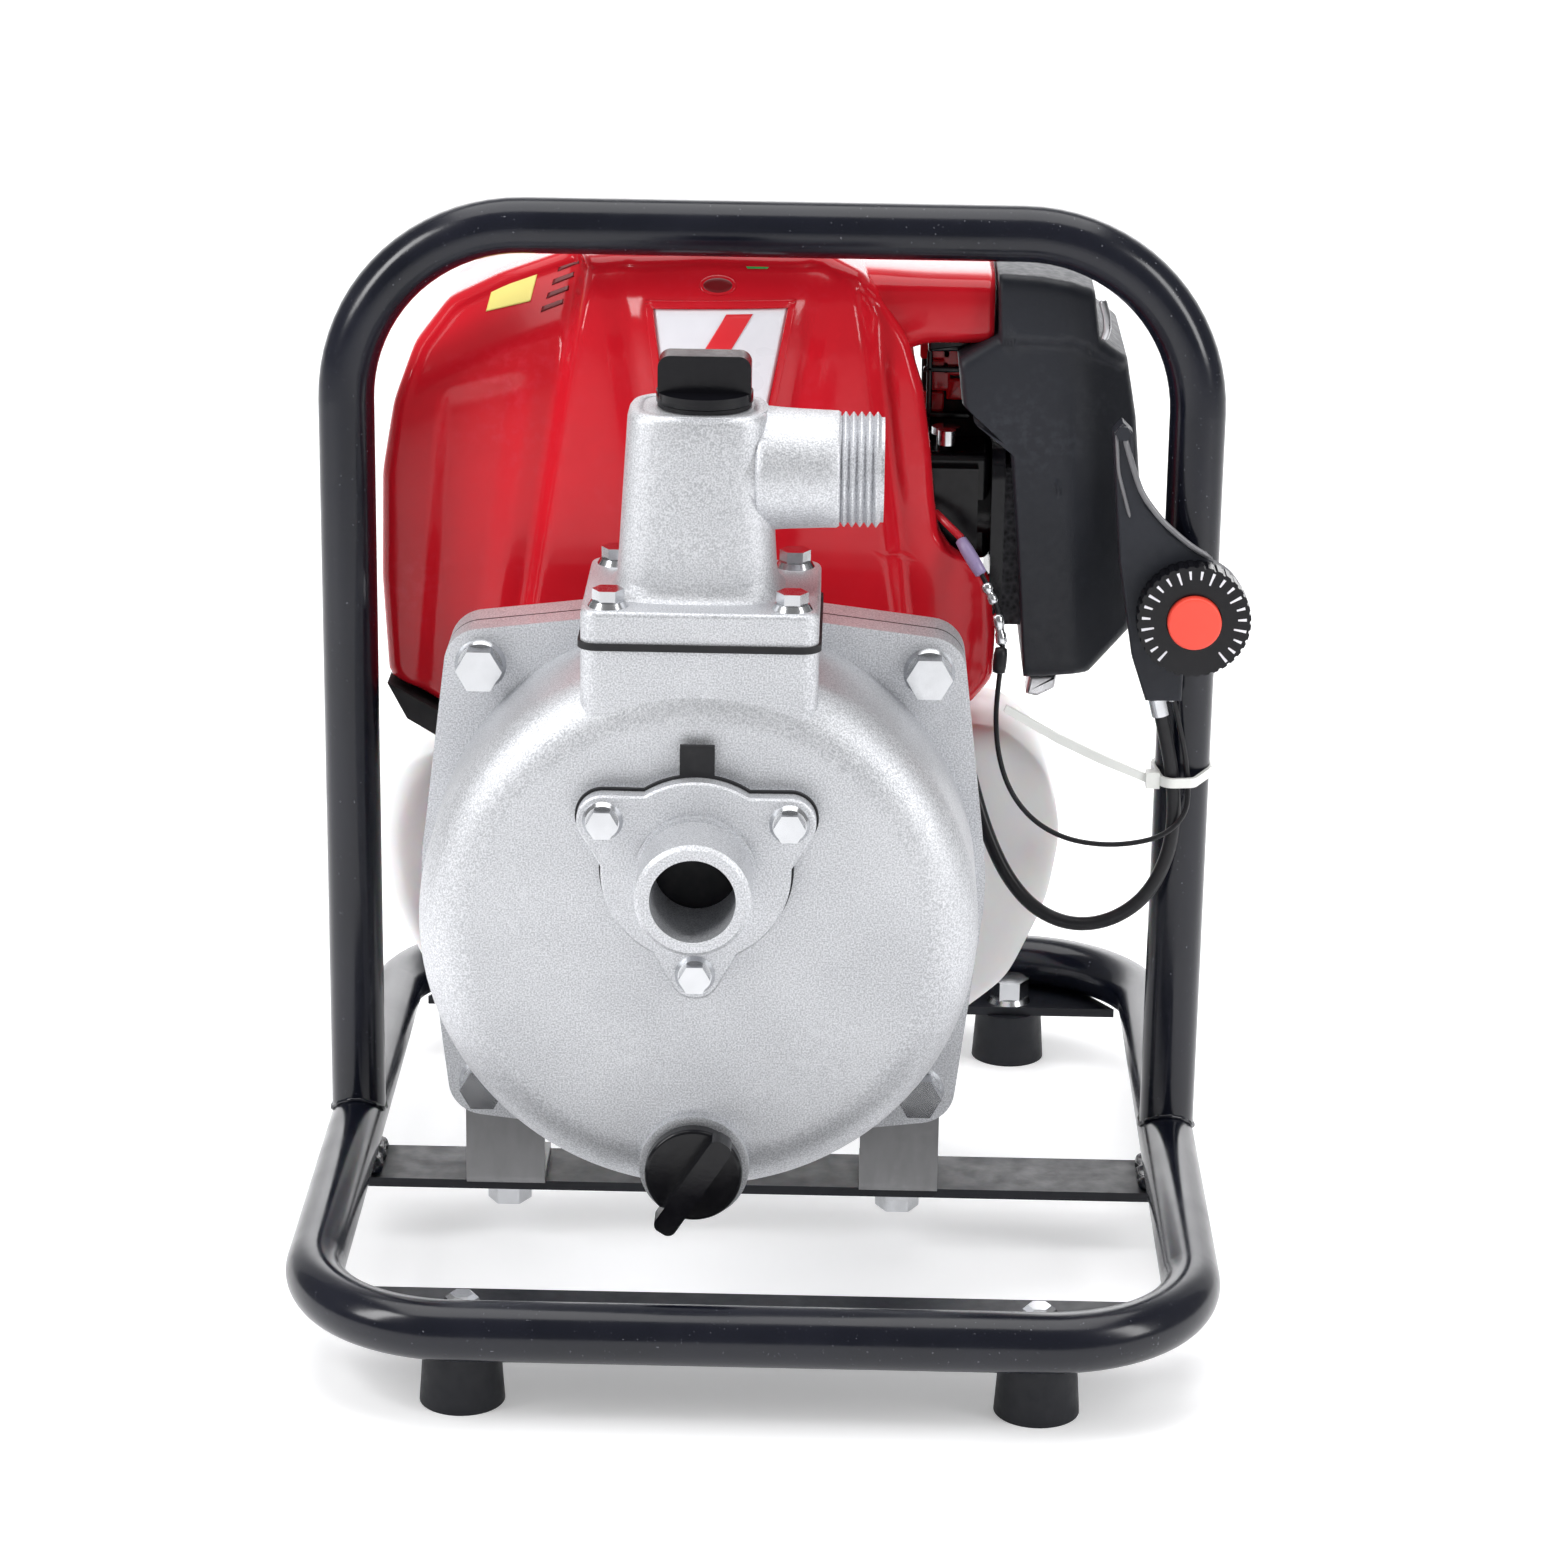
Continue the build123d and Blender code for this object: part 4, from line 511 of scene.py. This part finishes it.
def shroud_depth(x, z):
    """Y of the shroud's front: cheek(1 - s) + nose s, where s is a smooth step across the spine's edges.
    Both are parabolas along X that bend back above a slanting line; a sunken panel, a proud flank and two
    gullies of the form exp(-d^2) are added as smooth steps."""
    left_edge = line_x(z, (-79.0, 177.0), (-58.5, 307.0))
    right_edge = line_x(z, (40.0, 200.0), (27.0, 300.0))
    spine = rise(x, left_edge - 1.5, left_edge + 4.0)
    spine = spine * (1.0 - rise(x, right_edge - 3.0, right_edge + 4.0))
    bow_left = 0.0014 * np.clip(-70.0 - x, 0.0, 60.0) ** 2
    bow_right = 0.004 * np.clip(x - 35.0, 0.0, 60.0) ** 2
    cheek = 9.0 + bow_left + bow_right
    cheek_bend = np.where(x < 0.0, 272.0 + 0.36 * (x + 90.0), 288.0)
    cheek = cheek + bend_back(z - cheek_bend, 7.0, 1.1)
    nose = -2.2 + 0.0020 * (x - CRANK_X) ** 2 + bend_back(z - 295.0, 8.0, 1.15)
    depth = cheek * (1.0 - spine) + nose * spine
    panel_left = line_x(z, (-110.0, 177.0), (-102.5, 265.0))
    panel_right = line_x(z, (-86.0, 177.0), (-72.0, 270.0))
    panel_top = 266.0 + 0.26 * (x + 102.0)
    panel = rise(x, panel_left, panel_left + 5.0) * (1.0 - rise(x, panel_right - 9.0, panel_right))
    panel = panel * (1.0 - rise(z, panel_top - 7.0, panel_top))
    depth = depth + 2.4 * panel
    flank = rise(x, right_edge + 3.0, right_edge + 7.0)
    flank = flank * (1.0 - rise(z, 272.0, 284.0)) * rise(z, 226.0, 246.0)
    depth = depth - 1.6 * flank
    gully_left = line_x(z, (-35.0, 240.0), (-45.8, 308.0))
    gully_right = line_x(z, (0.5, 240.0), (12.0, 308.0))
    gullies = np.exp(-((x - gully_left + 2.0) / 5.0) ** 2)
    gullies = gullies + np.exp(-((x - gully_right - 2.0) / 5.0) ** 2)
    return depth + 2.6 * gullies * rise(z, 236.0, 262.0)


def bend_back(over, reach, slope):
    """Depth gained above a line: slope(d + sqrt(d^2 + r^2)) / 2, less its value 60 below the line."""
    far = 60.0
    tail = slope * 0.5 * (np.sqrt(far ** 2 + reach ** 2) - far)
    return slope * 0.5 * (over + np.sqrt(over ** 2 + reach ** 2)) - tail


def polar_ring(centre, share, angle, reach):
    """X and Z at a share of the way from the centre to the outline: centre + share reach (cos a, sin a)."""
    return centre[0] + share * reach * np.cos(angle), centre[1] + share * reach * np.sin(angle)


def polar_reach(corners, centre, count, rounds):
    """Distance from the centre to a smoothed closed outline, at evenly spaced angles."""
    loop = smooth_loop(corners, 900, rounds)
    gap = loop - np.array(centre)
    bearing = np.arctan2(gap[:, 1], gap[:, 0])
    order = np.argsort(bearing)
    angle = np.linspace(-math.pi, math.pi, count, endpoint=False)
    reach = np.interp(angle, bearing[order], np.linalg.norm(gap, axis=1)[order], period=2 * math.pi)
    return angle, reach


def engine_shroud():
    """Shell as a polar grid: the face follows `shroud_depth`, its last part rolls over by r(1 - cos t) into
    the side wall, and the wall is only a lip along the window beside the carburettor."""
    count = 320
    flat, wall_back = 0.955, 80.0
    angle, reach = polar_reach(SHROUD_OUTLINE, SHROUD_CENTRE, count, 10)
    rows = []
    for share in np.linspace(0.02, flat, 60):
        x, z = polar_ring(SHROUD_CENTRE, share, angle, reach)
        rows.append(np.column_stack([x, shroud_depth(x, z), z]))
    x, z = polar_ring(SHROUD_CENTRE, flat, angle, reach)
    rim = shroud_depth(x, z)
    for turn in np.linspace(0.0, math.pi / 2, 9)[1:]:
        share = flat + (1.0 - flat) * math.sin(turn)
        x, z = polar_ring(SHROUD_CENTRE, share, angle, reach)
        roll = np.minimum(rim + 5.5 * (1.0 - math.cos(turn)), wall_back - 2.0)
        rows.append(np.column_stack([x, roll, z]))
    edge = rows[-1]
    window = rise(edge[:, 0], 36.0, 42.0) * rise(edge[:, 2], 178.0, 182.5)
    window = window * (1.0 - rise(edge[:, 2], 276.0, 280.5))
    depth = wall_back - (wall_back - np.minimum(edge[:, 1] + 3.0, wall_back - 2.0)) * window
    for share in (0.35, 0.7, 1.0):
        back = edge.copy()
        back[:, 1] = edge[:, 1] + (depth - edge[:, 1]) * share
        rows.append(back)
    points = np.concatenate(rows)
    points = np.vstack([points, [[SHROUD_CENTRE[0], shroud_depth(*SHROUD_CENTRE), SHROUD_CENTRE[1]]]])
    hub = len(points) - 1
    faces = grid_faces(len(rows), count, flip=True) + fan(hub, 0, count)
    shell = piece("shroud_shell", points, faces, "red_plastic")
    wall = shell.modifiers.new("wall", "SOLIDIFY")
    wall.thickness = 2.0 * MM
    wall.offset = -1.0
    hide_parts("engine_shroud")


def shroud_arm():
    """Bridge from the crown to the air filter, carried along X and flared at the crown: its section is
    centre + half sign(c)|c|^p, for c the cosine across and the sine up, and p one half."""
    count = 64
    angle = np.linspace(0.0, 2 * math.pi, count, endpoint=False)
    power = 0.5
    wave_y = np.sign(np.cos(angle)) * np.abs(np.cos(angle)) ** power
    wave_z = np.sign(np.sin(angle)) * np.abs(np.sin(angle)) ** power
    rows = []
    for share in np.linspace(0.0, 1.0, 22):
        x = 20.0 + 47.2 * share
        flare = (1.0 - rise(x, 24.0, 50.0))
        low = 279.5 - 9.0 * flare
        high = 302.6 - 0.5 * share
        front = 14.0 + 3.0 * flare
        back = 62.0
        y = (front + back) / 2 + (back - front) / 2 * wave_y
        z = (low + high) / 2 + (high - low) / 2 * wave_z
        rows.append(np.column_stack([np.full(count, x), y, z]))
    faces = grid_faces(len(rows), count) + end_caps(len(rows), count)
    piece("shroud_arm", np.concatenate(rows), faces, "red_plastic")


def shroud_patch(name, corners, lift, finish, across=24, down=16):
    """Thin four-cornered patch on the shroud's face, closed at its edges: X and Z run evenly between the
    corners, and Y is the face's depth less `lift`."""
    corners = np.asarray(corners, dtype=float)
    u, v = np.meshgrid(np.linspace(0.0, 1.0, across), np.linspace(0.0, 1.0, down))
    top = corners[0] + (corners[1] - corners[0]) * u[..., None]
    low = corners[3] + (corners[2] - corners[3]) * u[..., None]
    flat = top + (low - top) * v[..., None]
    x, z = flat[..., 0].ravel(), flat[..., 1].ravel()
    face = shroud_depth(x, z)
    front = np.column_stack([x, face - lift, z])
    back = np.column_stack([x, face + 0.4, z])
    total = across * down
    faces = grid_faces(down, across, wrap=False, flip=True)
    faces += grid_faces(down, across, wrap=False, start=total)
    border = np.concatenate([
        np.arange(across), np.arange(2 * across - 1, total, across),
        np.arange(total - 2, total - across - 1, -1), np.arange(total - 2 * across, 0, -across)
    ])
    ahead = np.roll(border, -1)
    faces += np.stack([border, ahead, ahead + total, border + total], axis=1).tolist()
    return piece(name, np.vstack([front, back]), faces, finish)


def shroud_oval(name, x0, z0, wide, high, lift, finish, count=36):
    """Thin oval patch on the shroud's face, rings of a polar grid on the face's depth, closed behind."""
    angle = np.linspace(0.0, 2 * math.pi, count, endpoint=False)
    rows = []
    section = ((0.02, -lift), (0.5, -lift), (0.9, -lift), (1.0, -lift * 0.4), (1.0, 0.6), (0.02, 0.6))
    for share, off in section:
        x = x0 + wide * share * np.cos(angle)
        z = z0 + high * share * np.sin(angle)
        rows.append(np.column_stack([x, shroud_depth(x, z) + off, z]))
    faces = grid_faces(len(rows), count, flip=True) + end_caps(len(rows), count, True)
    return piece(name, np.concatenate(rows), faces, finish)


def shroud_marks():
    """Plain decals without lettering, the raised rails beside the white one, and the screw hole and vent
    slots as darker red patches of painted shade.
    """
    plate = [(-36.2, 293.2), (4.6, 294.0), (-1.6, 262.0), (-32.0, 262.0)]
    stroke = [(-14.0, 292.2), (-6.0, 292.4), (-24.0, 262.5), (-32.0, 262.5)]
    rails = {
        "left": [(-38.6, 294.6), (-36.2, 294.6), (-32.0, 262.0), (-34.4, 262.0)],
        "right": [(4.8, 295.6), (7.0, 295.6), (0.8, 262.0), (-1.4, 262.0)],
    }
    top_rail = [(-38.6, 295.6), (7.0, 296.4), (4.6, 294.2), (-36.2, 293.4)]
    side_label = [(-86.8, 294.0), (-73.0, 298.0), (-74.8, 290.4), (-88.6, 286.6)]
    leaf = [(-10.0, 306.6), (0.5, 306.6), (-2.0, 304.4), (-8.0, 304.4)]
    shroud_patch("decal_plate", plate, 0.3, "decal_white")
    shroud_patch("decal_stroke", stroke, 0.55, "decal_red")
    for side, corners in rails.items():
        shroud_patch("decal_rail_%s" % side, corners, 1.0, "red_plastic", 6)
    shroud_patch("decal_rail_top", top_rail, 1.0, "red_plastic", 24, 4)
    shroud_patch("decal_side", side_label, 0.3, "decal_yellow")
    shroud_patch("decal_leaf", leaf, 0.3, "decal_green", 8, 4)
    shroud_oval("cover_screw_rim", -16.8, 300.0, 5.6, 2.7, 0.25, "red_plastic")
    # the screw hole's inside is a flat patch of painted shade
    shroud_oval("cover_screw_hole", -16.8, 300.0, 4.6, 2.0, 0.4, "slot_shade_red")
    # vent slots: flat darker red patches of painted shade between the louvers
    for k in range(4):
        x = -71.0 + 1.5 * k
        z = 288.0 + 3.6 * k
        slot = [(x, z + 1.3), (x + 6.5, z + 3.8), (x + 6.5, z + 2.6), (x - 0.4, z - 0.2)]
        shroud_patch("vent_slot_%d" % k, slot, 0.2, "slot_shade_red", 8, 4)


# ------------------------------------------------------------------ air filter cover
COVER_CENTRE = (88.0, 238.0)
COVER_OUTLINE = [
    (67.9, 304.0), (81.0, 303.2), (90.0, 301.6), (97.4, 298.8), (99.6, 284.0), (108.3, 277.2), (111.8, 258.0),
    (113.8, 237.0), (112.3, 190.5), (99.6, 177.6), (79.2, 176.2), (76.4, 214.0), (73.2, 250.6), (58.4, 260.0),
    (56.4, 277.2), (68.6, 285.0),
]


def cover_depth(x, z, front):
    """Y of the cover's face: flat, then a facet k(d + sqrt(d^2 + 9) - 3) falling back at a distance d
    outside a steep crease; its top block stands proud of a ledge that slants down outwards."""
    crease = line_x(z, (94.5, 180.0), (90.5, 290.0))
    over = x - crease
    facet = 0.26 * (over + np.sqrt(over ** 2 + 9.0) - 3.0)
    crown = 0.0006 * (z - 236.0) ** 2
    ledge = np.where(x < crease, 283.0, 283.0 - 0.55 * (x - crease))
    step = 2.4 * rise(z, ledge - 0.8, ledge + 1.2)
    return front + 2.0 + facet + crown - step


def filter_cover():
    """Closed polar grid: the face on `cover_depth`, an edge rolled by r(1 - cos t), the side wall and a
    back drawn in by the same rule; then its wire clip and its latch."""
    count = 320
    flat, wall_end = 0.93, 82.5
    angle, reach = polar_reach(COVER_OUTLINE, COVER_CENTRE, count, 4)
    front, back = 7.5, 86.0
    rows = []
    for share in np.linspace(0.03, flat, 34):
        x, z = polar_ring(COVER_CENTRE, share, angle, reach)
        rows.append(np.column_stack([x, cover_depth(x, z, front), z]))
    rim = rows[-1][:, 1]
    for turn in np.linspace(0.0, math.pi / 2, 7)[1:]:
        share = flat + (1.0 - flat) * math.sin(turn)
        x, z = polar_ring(COVER_CENTRE, share, angle, reach)
        rows.append(np.column_stack([x, rim + 4.0 * (1.0 - math.cos(turn)), z]))
    edge = rows[-1]
    for y in (40.0, wall_end):
        ring = edge.copy()
        ring[:, 1] = y
        rows.append(ring)
    for turn in np.linspace(0.0, math.pi / 2, 6)[1:]:
        ring = edge.copy()
        draw = 1.0 - 0.05 * (1.0 - math.cos(turn))
        ring[:, 0] = COVER_CENTRE[0] + (edge[:, 0] - COVER_CENTRE[0]) * draw
        ring[:, 2] = COVER_CENTRE[1] + (edge[:, 2] - COVER_CENTRE[1]) * draw
        ring[:, 1] = wall_end + (back - wall_end) * math.sin(turn)
        rows.append(ring)
    hubs = [[COVER_CENTRE[0], y, COVER_CENTRE[1]] for y in (front, back)]
    points = np.vstack([*rows, hubs])
    hub = len(points) - 2
    faces = grid_faces(len(rows), count, flip=True) + fan(hub, 0, count)
    faces += fan(hub + 1, (len(rows) - 1) * count, count, flip=True)
    cover = piece("filter_cover_shell", points, faces, "charcoal_plastic")
    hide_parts("filter_cover")
    clip = [(99.4, 9.5, 297.0), (100.9, 8.6, 292.0), (101.2, 8.4, 288.0), (100.2, 9.0, 284.5)]
    swept_rod("cover_clip", clip, 1.25, "clip_grey")
    latch = [(80.5, 169.5), (81.5, 175.0), (90.0, 175.5), (89.5, 171.5), (84.0, 168.6)]
    rounded_slab("cover_latch", latch, 18.0, 30.0, 1.0, "clip_grey", count=80)


def swept_rod(name, path, radius, finish, count=14, dense=48):
    """Round rod with domed ends: line + swell(aside cos a + up sin a), along a path smoothed by repeated
    averaging."""
    path = np.asarray(path, dtype=float)
    along = np.concatenate([[0.0], np.cumsum(np.linalg.norm(np.diff(path, axis=0), axis=1))])
    at = np.linspace(0.0, along[-1], dense)
    line = np.stack([np.interp(at, along, path[:, k]) for k in range(3)], axis=1)
    for _ in range(12):
        line[1:-1] = 0.25 * line[:-2] + 0.5 * line[1:-1] + 0.25 * line[2:]
    ahead = np.gradient(line, axis=0)
    ahead /= np.linalg.norm(ahead, axis=1, keepdims=True)
    aside = np.cross(ahead, [0.0, 1.0, 0.0])
    aside /= np.linalg.norm(aside, axis=1, keepdims=True)
    up = np.cross(ahead, aside)
    turn = np.linspace(0.0, 2 * math.pi, count, endpoint=False)
    ends = np.minimum(np.arange(dense), np.arange(dense)[::-1]) / (dense / 12.0)
    swell = radius * np.sqrt(np.clip(1.0 - (1.0 - np.clip(ends, 0.0, 1.0)) ** 2, 0.03, 1.0))
    ring = np.cos(turn)[None, :, None] * aside[:, None] + np.sin(turn)[None, :, None] * up[:, None]
    points = line[:, None] + swell[:, None, None] * ring
    faces = grid_faces(dense, count) + end_caps(dense, count)
    return piece(name, points.reshape(-1, 3), faces, finish)


# ------------------------------------------------------------------ fuel tank
TANK_OUTLINE = [
    (-88.0, 54.5), (-108.0, 68.0), (-121.0, 96.0), (-124.0, 120.0), (-117.0, 139.0), (-100.0, 146.5),
    (-80.0, 145.0), (-65.5, 133.0), (-64.5, 118.0), (-58.0, 102.0), (-46.0, 89.0), (-32.0, 82.0),
    (-18.0, 80.0), (-4.0, 82.0),
    (10.0, 89.0), (22.0, 102.0), (28.5, 118.0), (30.0, 133.0), (44.0, 149.5), (58.0, 157.0), (75.0, 155.5),
    (88.0, 143.0), (93.8, 122.0), (90.0, 98.0), (78.0, 71.0), (58.0, 54.5), (20.0, 54.0), (-40.0, 54.0),
]


def fuel_tank():
    """Moulded tank that saddles the crankcase, and the neck under its cap."""
    tank = rounded_slab("tank_body", TANK_OUTLINE, 20.0, 78.0, 9.0, "tank_plastic", count=360, rounds=14)
    neck = [(0.0, 12.0), (0.95, 12.0), (1.0, 11.6)]
    lathe("tank_neck", (-103.0, 76.0, 116.0), (-103.0, 85.0, 116.0), neck, "tank_plastic", count=48)
    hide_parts("fuel_tank")


# ------------------------------------------------------------------ small pieces
DIAL_FACE = (128.6, -25.5, 206.2)


def dial_marks():
    """White ticks on the dial's rim, each a thin raised bar that widens outwards: face + r radial + s side,
    with every third tick longer."""
    count = 22
    tick = np.arange(count)
    angle = np.radians(-50.0 + 280.0 * tick / (count - 1))
    flat = np.zeros(count)
    radial = np.stack([np.cos(angle), flat, np.sin(angle)], axis=1)
    side = np.stack([-np.sin(angle), flat, np.cos(angle)], axis=1)
    inner = np.where(tick % 3, 13.2, 12.2)
    outer = np.where(tick % 3, 15.8, 16.0)
    reach = np.stack([inner, outer, outer, inner], axis=1)
    half = np.array([-0.24, -0.42, 0.42, 0.24])
    ring = DIAL_FACE + radial[:, None] * reach[..., None] + side[:, None] * half[:, None]
    points = np.concatenate([ring, ring + np.array([0.0, -0.25, 0.0])], axis=1).reshape(-1, 3)
    bar = np.array([[4, 5, 6, 7], [0, 4, 7, 3], [1, 2, 6, 5], [0, 1, 5, 4], [3, 7, 6, 2], [0, 3, 2, 1]])
    faces = (bar + 8 * tick[:, None, None]).reshape(-1, 4).tolist()
    piece("dial_ticks", points, faces, "decal_white", body="dial", smooth=False)


def weld_bead(name, centre, axis, half, seed):
    """Lumpy bead along an axis: its radius is r sqrt(1 - u^6), wavering with two sines."""
    centre = np.asarray(centre, dtype=float)
    axis = np.asarray(axis, dtype=float)
    axis = axis / np.linalg.norm(axis)
    aside = np.cross(axis, [0.0, 0.0, 1.0])
    aside /= np.linalg.norm(aside)
    up = np.cross(axis, aside)
    long, round_count = 26, 14
    share = np.linspace(-1.0, 1.0, long)
    angle = np.linspace(0.0, 2 * math.pi, round_count, endpoint=False)
    u, v = np.meshgrid(share, angle, indexing="ij")
    radius = 2.6 * np.sqrt(np.clip(1.0 - u ** 6, 0.01, 1.0))
    waver = 0.16 * np.sin(9.0 * u + seed) + 0.1 * np.sin(17.0 * u + 2.0 * v + 3.0 * seed)
    radius = radius * (1.0 + waver)
    points = centre + u[..., None] * half * axis + radius[..., None] * (
        np.cos(v)[..., None] * aside + np.sin(v)[..., None] * up)
    faces = grid_faces(long, round_count) + end_caps(long, round_count)
    piece(name, points.reshape(-1, 3), faces, "frame_black")


def weld_ring(name, x, seed):
    """Bead round a hoop leg's foot: a wavering ring of radius R about the leg, lifted by
    sqrt(T^2 - (R cos u)^2) onto the side tube of radius T."""
    leg, tube, tube_axis = 8.3, 8.75, 29.25
    around, section = 72, 12
    turn = np.linspace(0.0, 2 * math.pi, around, endpoint=False)
    small = np.linspace(0.0, 2 * math.pi, section, endpoint=False)
    u, v = np.meshgrid(turn, small, indexing="ij")
    bead = 0.85 * (1.0 + 0.18 * np.sin(13.0 * u + seed) + 0.1 * np.sin(29.0 * u + v))
    ring = leg + bead * np.cos(v)
    height = tube_axis + np.sqrt(tube ** 2 - (leg * np.cos(u)) ** 2) + 0.4
    points = np.stack([x + ring * np.cos(u), ring * np.sin(u), height + bead * np.sin(v)], axis=-1)
    here = np.arange(section)
    following = (here + 1) % section
    last = (around - 1) * section
    faces = grid_faces(around, section, flip=True)
    faces += np.stack([here, following, last + following, last + here], axis=1).tolist()
    piece(name, points.reshape(-1, 3), faces, "frame_black")


def outlet_skin():
    """Tapered tower of section half sign(c)|c|^0.58 with a softened foot and rim, and the flare where its
    side branch leaves it."""
    count = 128
    angle = np.linspace(0.0, 2 * math.pi, count, endpoint=False)
    power = 0.58
    cos, sin = np.cos(angle), np.sin(angle)
    wave_x = np.sign(cos) * np.abs(cos) ** power
    wave_y = np.sign(sin) * np.abs(sin) ** power
    low_z, high_z = 225.5, 279.0
    levels = [(225.0, 3.4), (225.6, 2.2), (226.6, 1.1), (228.4, 0.3), (231.0, 0.0), (240.0, 0.0),
              (250.0, 0.0), (260.0, 0.0), (270.0, 0.0), (276.6, 0.0), (277.9, -0.25), (278.8, -0.9),
              (279.15, -1.8), (279.2, -4.2)]
    rows = []
    for z, grow in levels:
        share = (z - low_z) / (high_z - low_z)
        half_x = 23.4 - 3.2 * share + grow
        half_y = 19.3 - 1.7 * share + grow
        rows.append(np.column_stack([-19.7 + half_x * wave_x, -64.0 + half_y * wave_y, np.full(count, z)]))
    points = np.concatenate(rows)
    faces = grid_faces(len(rows), count)
    tower = piece("tower_skin", points, faces, "cast_aluminium")
    wall = tower.modifiers.new("wall", "SOLIDIFY")
    wall.thickness = 0.5 * MM
    wall.offset = -1.0
    flare = [(0.0, 17.0), (0.05, 18.05), (0.15, 17.9), (0.3, 17.6), (0.5, 17.3), (0.8, 17.0), (0.97, 16.9),
             (1.0, 16.4)]
    lathe("branch_flare", (-3.0, -64.0, 261.0), (21.3, -64.0, 261.0), flare, "cast_aluminium", count=96)


def blocks(name, places, y0, y1, radius, finish):
    """Numbered rounded blocks, each from its centre's X and Z and its half sizes."""
    for k, (x, z, wide, high) in enumerate(places):
        block = [(x - wide, z - high), (x - wide, z + high), (x + wide, z + high), (x + wide, z - high)]
        rounded_slab("%s_%d" % (name, k), block, y0, y1, radius, finish, count=48)


def window_contents():
    """Dark heat plate behind the carburettor, a black slab of painted shade under the shroud's arm, and the
    red and black linkage.
    """
    plate = [(46.5, 216.0), (46.0, 281.0), (66.0, 281.0), (69.5, 262.0), (68.0, 214.0)]
    rounded_slab("heat_plate", plate, 57.0, 61.0, 1.2, "deep_black", count=120)
    # black slab of painted shade along the underside of the shroud's red arm
    shade = [(47.5, 276.6), (47.5, 283.4), (70.0, 283.8), (70.0, 279.6), (60.0, 277.0)]
    rounded_slab("arm_underside_shade", shade, 24.0, 52.0, 1.0, "black_plastic", count=120)
    blocks("linkage_red", [
        (50.5, 272.0, 5.0, 4.4), (56.5, 268.5, 4.2, 6.0), (51.5, 262.5, 3.6, 5.0), (57.0, 258.0, 3.0, 3.4),
        (50.0, 254.0, 3.4, 3.2)
    ], 55.0, 57.4, 0.8, "red_plastic")
    blocks("linkage_black", [
        (53.5, 250.0, 8.5, 1.0), (54.0, 264.8, 7.5, 0.9), (48.6, 258.0, 0.9, 14.0)
    ], 53.0, 55.6, 0.5, "black_plastic")


def small_pieces():
    """Ticks, tower skin, foot nuts, the window's contents, the control arm's ribs in a light grey that is a
    painted highlight, and the weld beads.
    """
    dial_marks()
    outlet_skin()
    for side, x in (("left", -83.5), ("right", 83.5)):
        nut = [(0.0, 6.8), (0.12, 6.8), (0.16, 5.6), (0.78, 5.6), (0.9, 4.9), (1.0, 3.4)]
        lathe("foot_nut_%s" % side, (x, -138.5, 20.6), (x, -138.5, 32.6), nut, "zinc_steel", count=6,
              smooth=False)
    window_contents()
    # ribs along the control arm's rim, coloured light grey as a painted highlight
    rib = [(105.6, -17.4, 262.4), (107.9, -17.4, 254.5), (111.7, -17.4, 243.6), (118.0, -17.4, 235.4),
           (127.4, -17.4, 227.4), (133.6, -17.4, 223.9)]
    swept_rod("arm_rib", rib, 0.9, "arm_edge_highlight")
    swept_rod("arm_rib_inner", [(103.6, -17.2, 262.0), (104.6, -17.2, 250.0), (108.6, -17.2, 236.0)], 0.55,
              "arm_edge_highlight")
    for side, sign, seed in (("left", -1, 0.4), ("right", 1, 2.1)):
        weld_ring("weld_leg_%s" % side, sign * 129.0, seed)
        weld_bead("weld_bar_%s" % side, (sign * 122.0, -14.0, 21.5), (0, 1, 0), 13.0, seed)


# ------------------------------------------------------------------ floor
def floor():
    """Pale floor that curves up into a backdrop by a quarter of a circle; in metres."""
    run = np.linspace(0.0, 1.0, 40)
    y = np.where(run < 0.5, -3.0 + 10.0 * run, 2.0 + 1.2 * np.sin((run - 0.5) * math.pi))
    z = np.where(run < 0.5, 0.0, 1.2 * (1.0 - np.cos((run - 0.5) * math.pi)))
    y = np.concatenate([y, [3.2]])
    z = np.concatenate([z, [4.0]])
    x = np.linspace(-4.0, 4.0, 3)
    points = np.column_stack([np.tile(x, len(y)), np.repeat(y, len(x)), np.repeat(z, len(x))])
    faces = grid_faces(len(y), len(x), wrap=False)
    mesh = bpy.data.meshes.new("floor")
    mesh.from_pydata(points.tolist(), [], faces)
    mesh.polygons.foreach_set("use_smooth", np.full(len(mesh.polygons), True))
    paint, tree, shader, place = new_material("floor_paint", (0.93, 0.93, 0.94), 0.7)
    tone = tint(tree, noise(tree, place, 3.0), (0.925, 0.925, 0.935), (0.94, 0.94, 0.95))
    tree.links.new(tone, shader.inputs["Base Color"])
    shader.inputs["Emission Color"].default_value = (1.0, 1.0, 1.0, 1.0)
    shader.inputs["Emission Strength"].default_value = 0.3
    mesh.materials.append(paint)
    made = bpy.data.objects.new("floor", mesh)
    bpy.context.scene.collection.objects.link(made)


place_camera()
studio()
make_finishes()
dress_nodes()
cords()
engine_shroud()
shroud_arm()
shroud_marks()
filter_cover()
fuel_tank()
small_pieces()
floor()
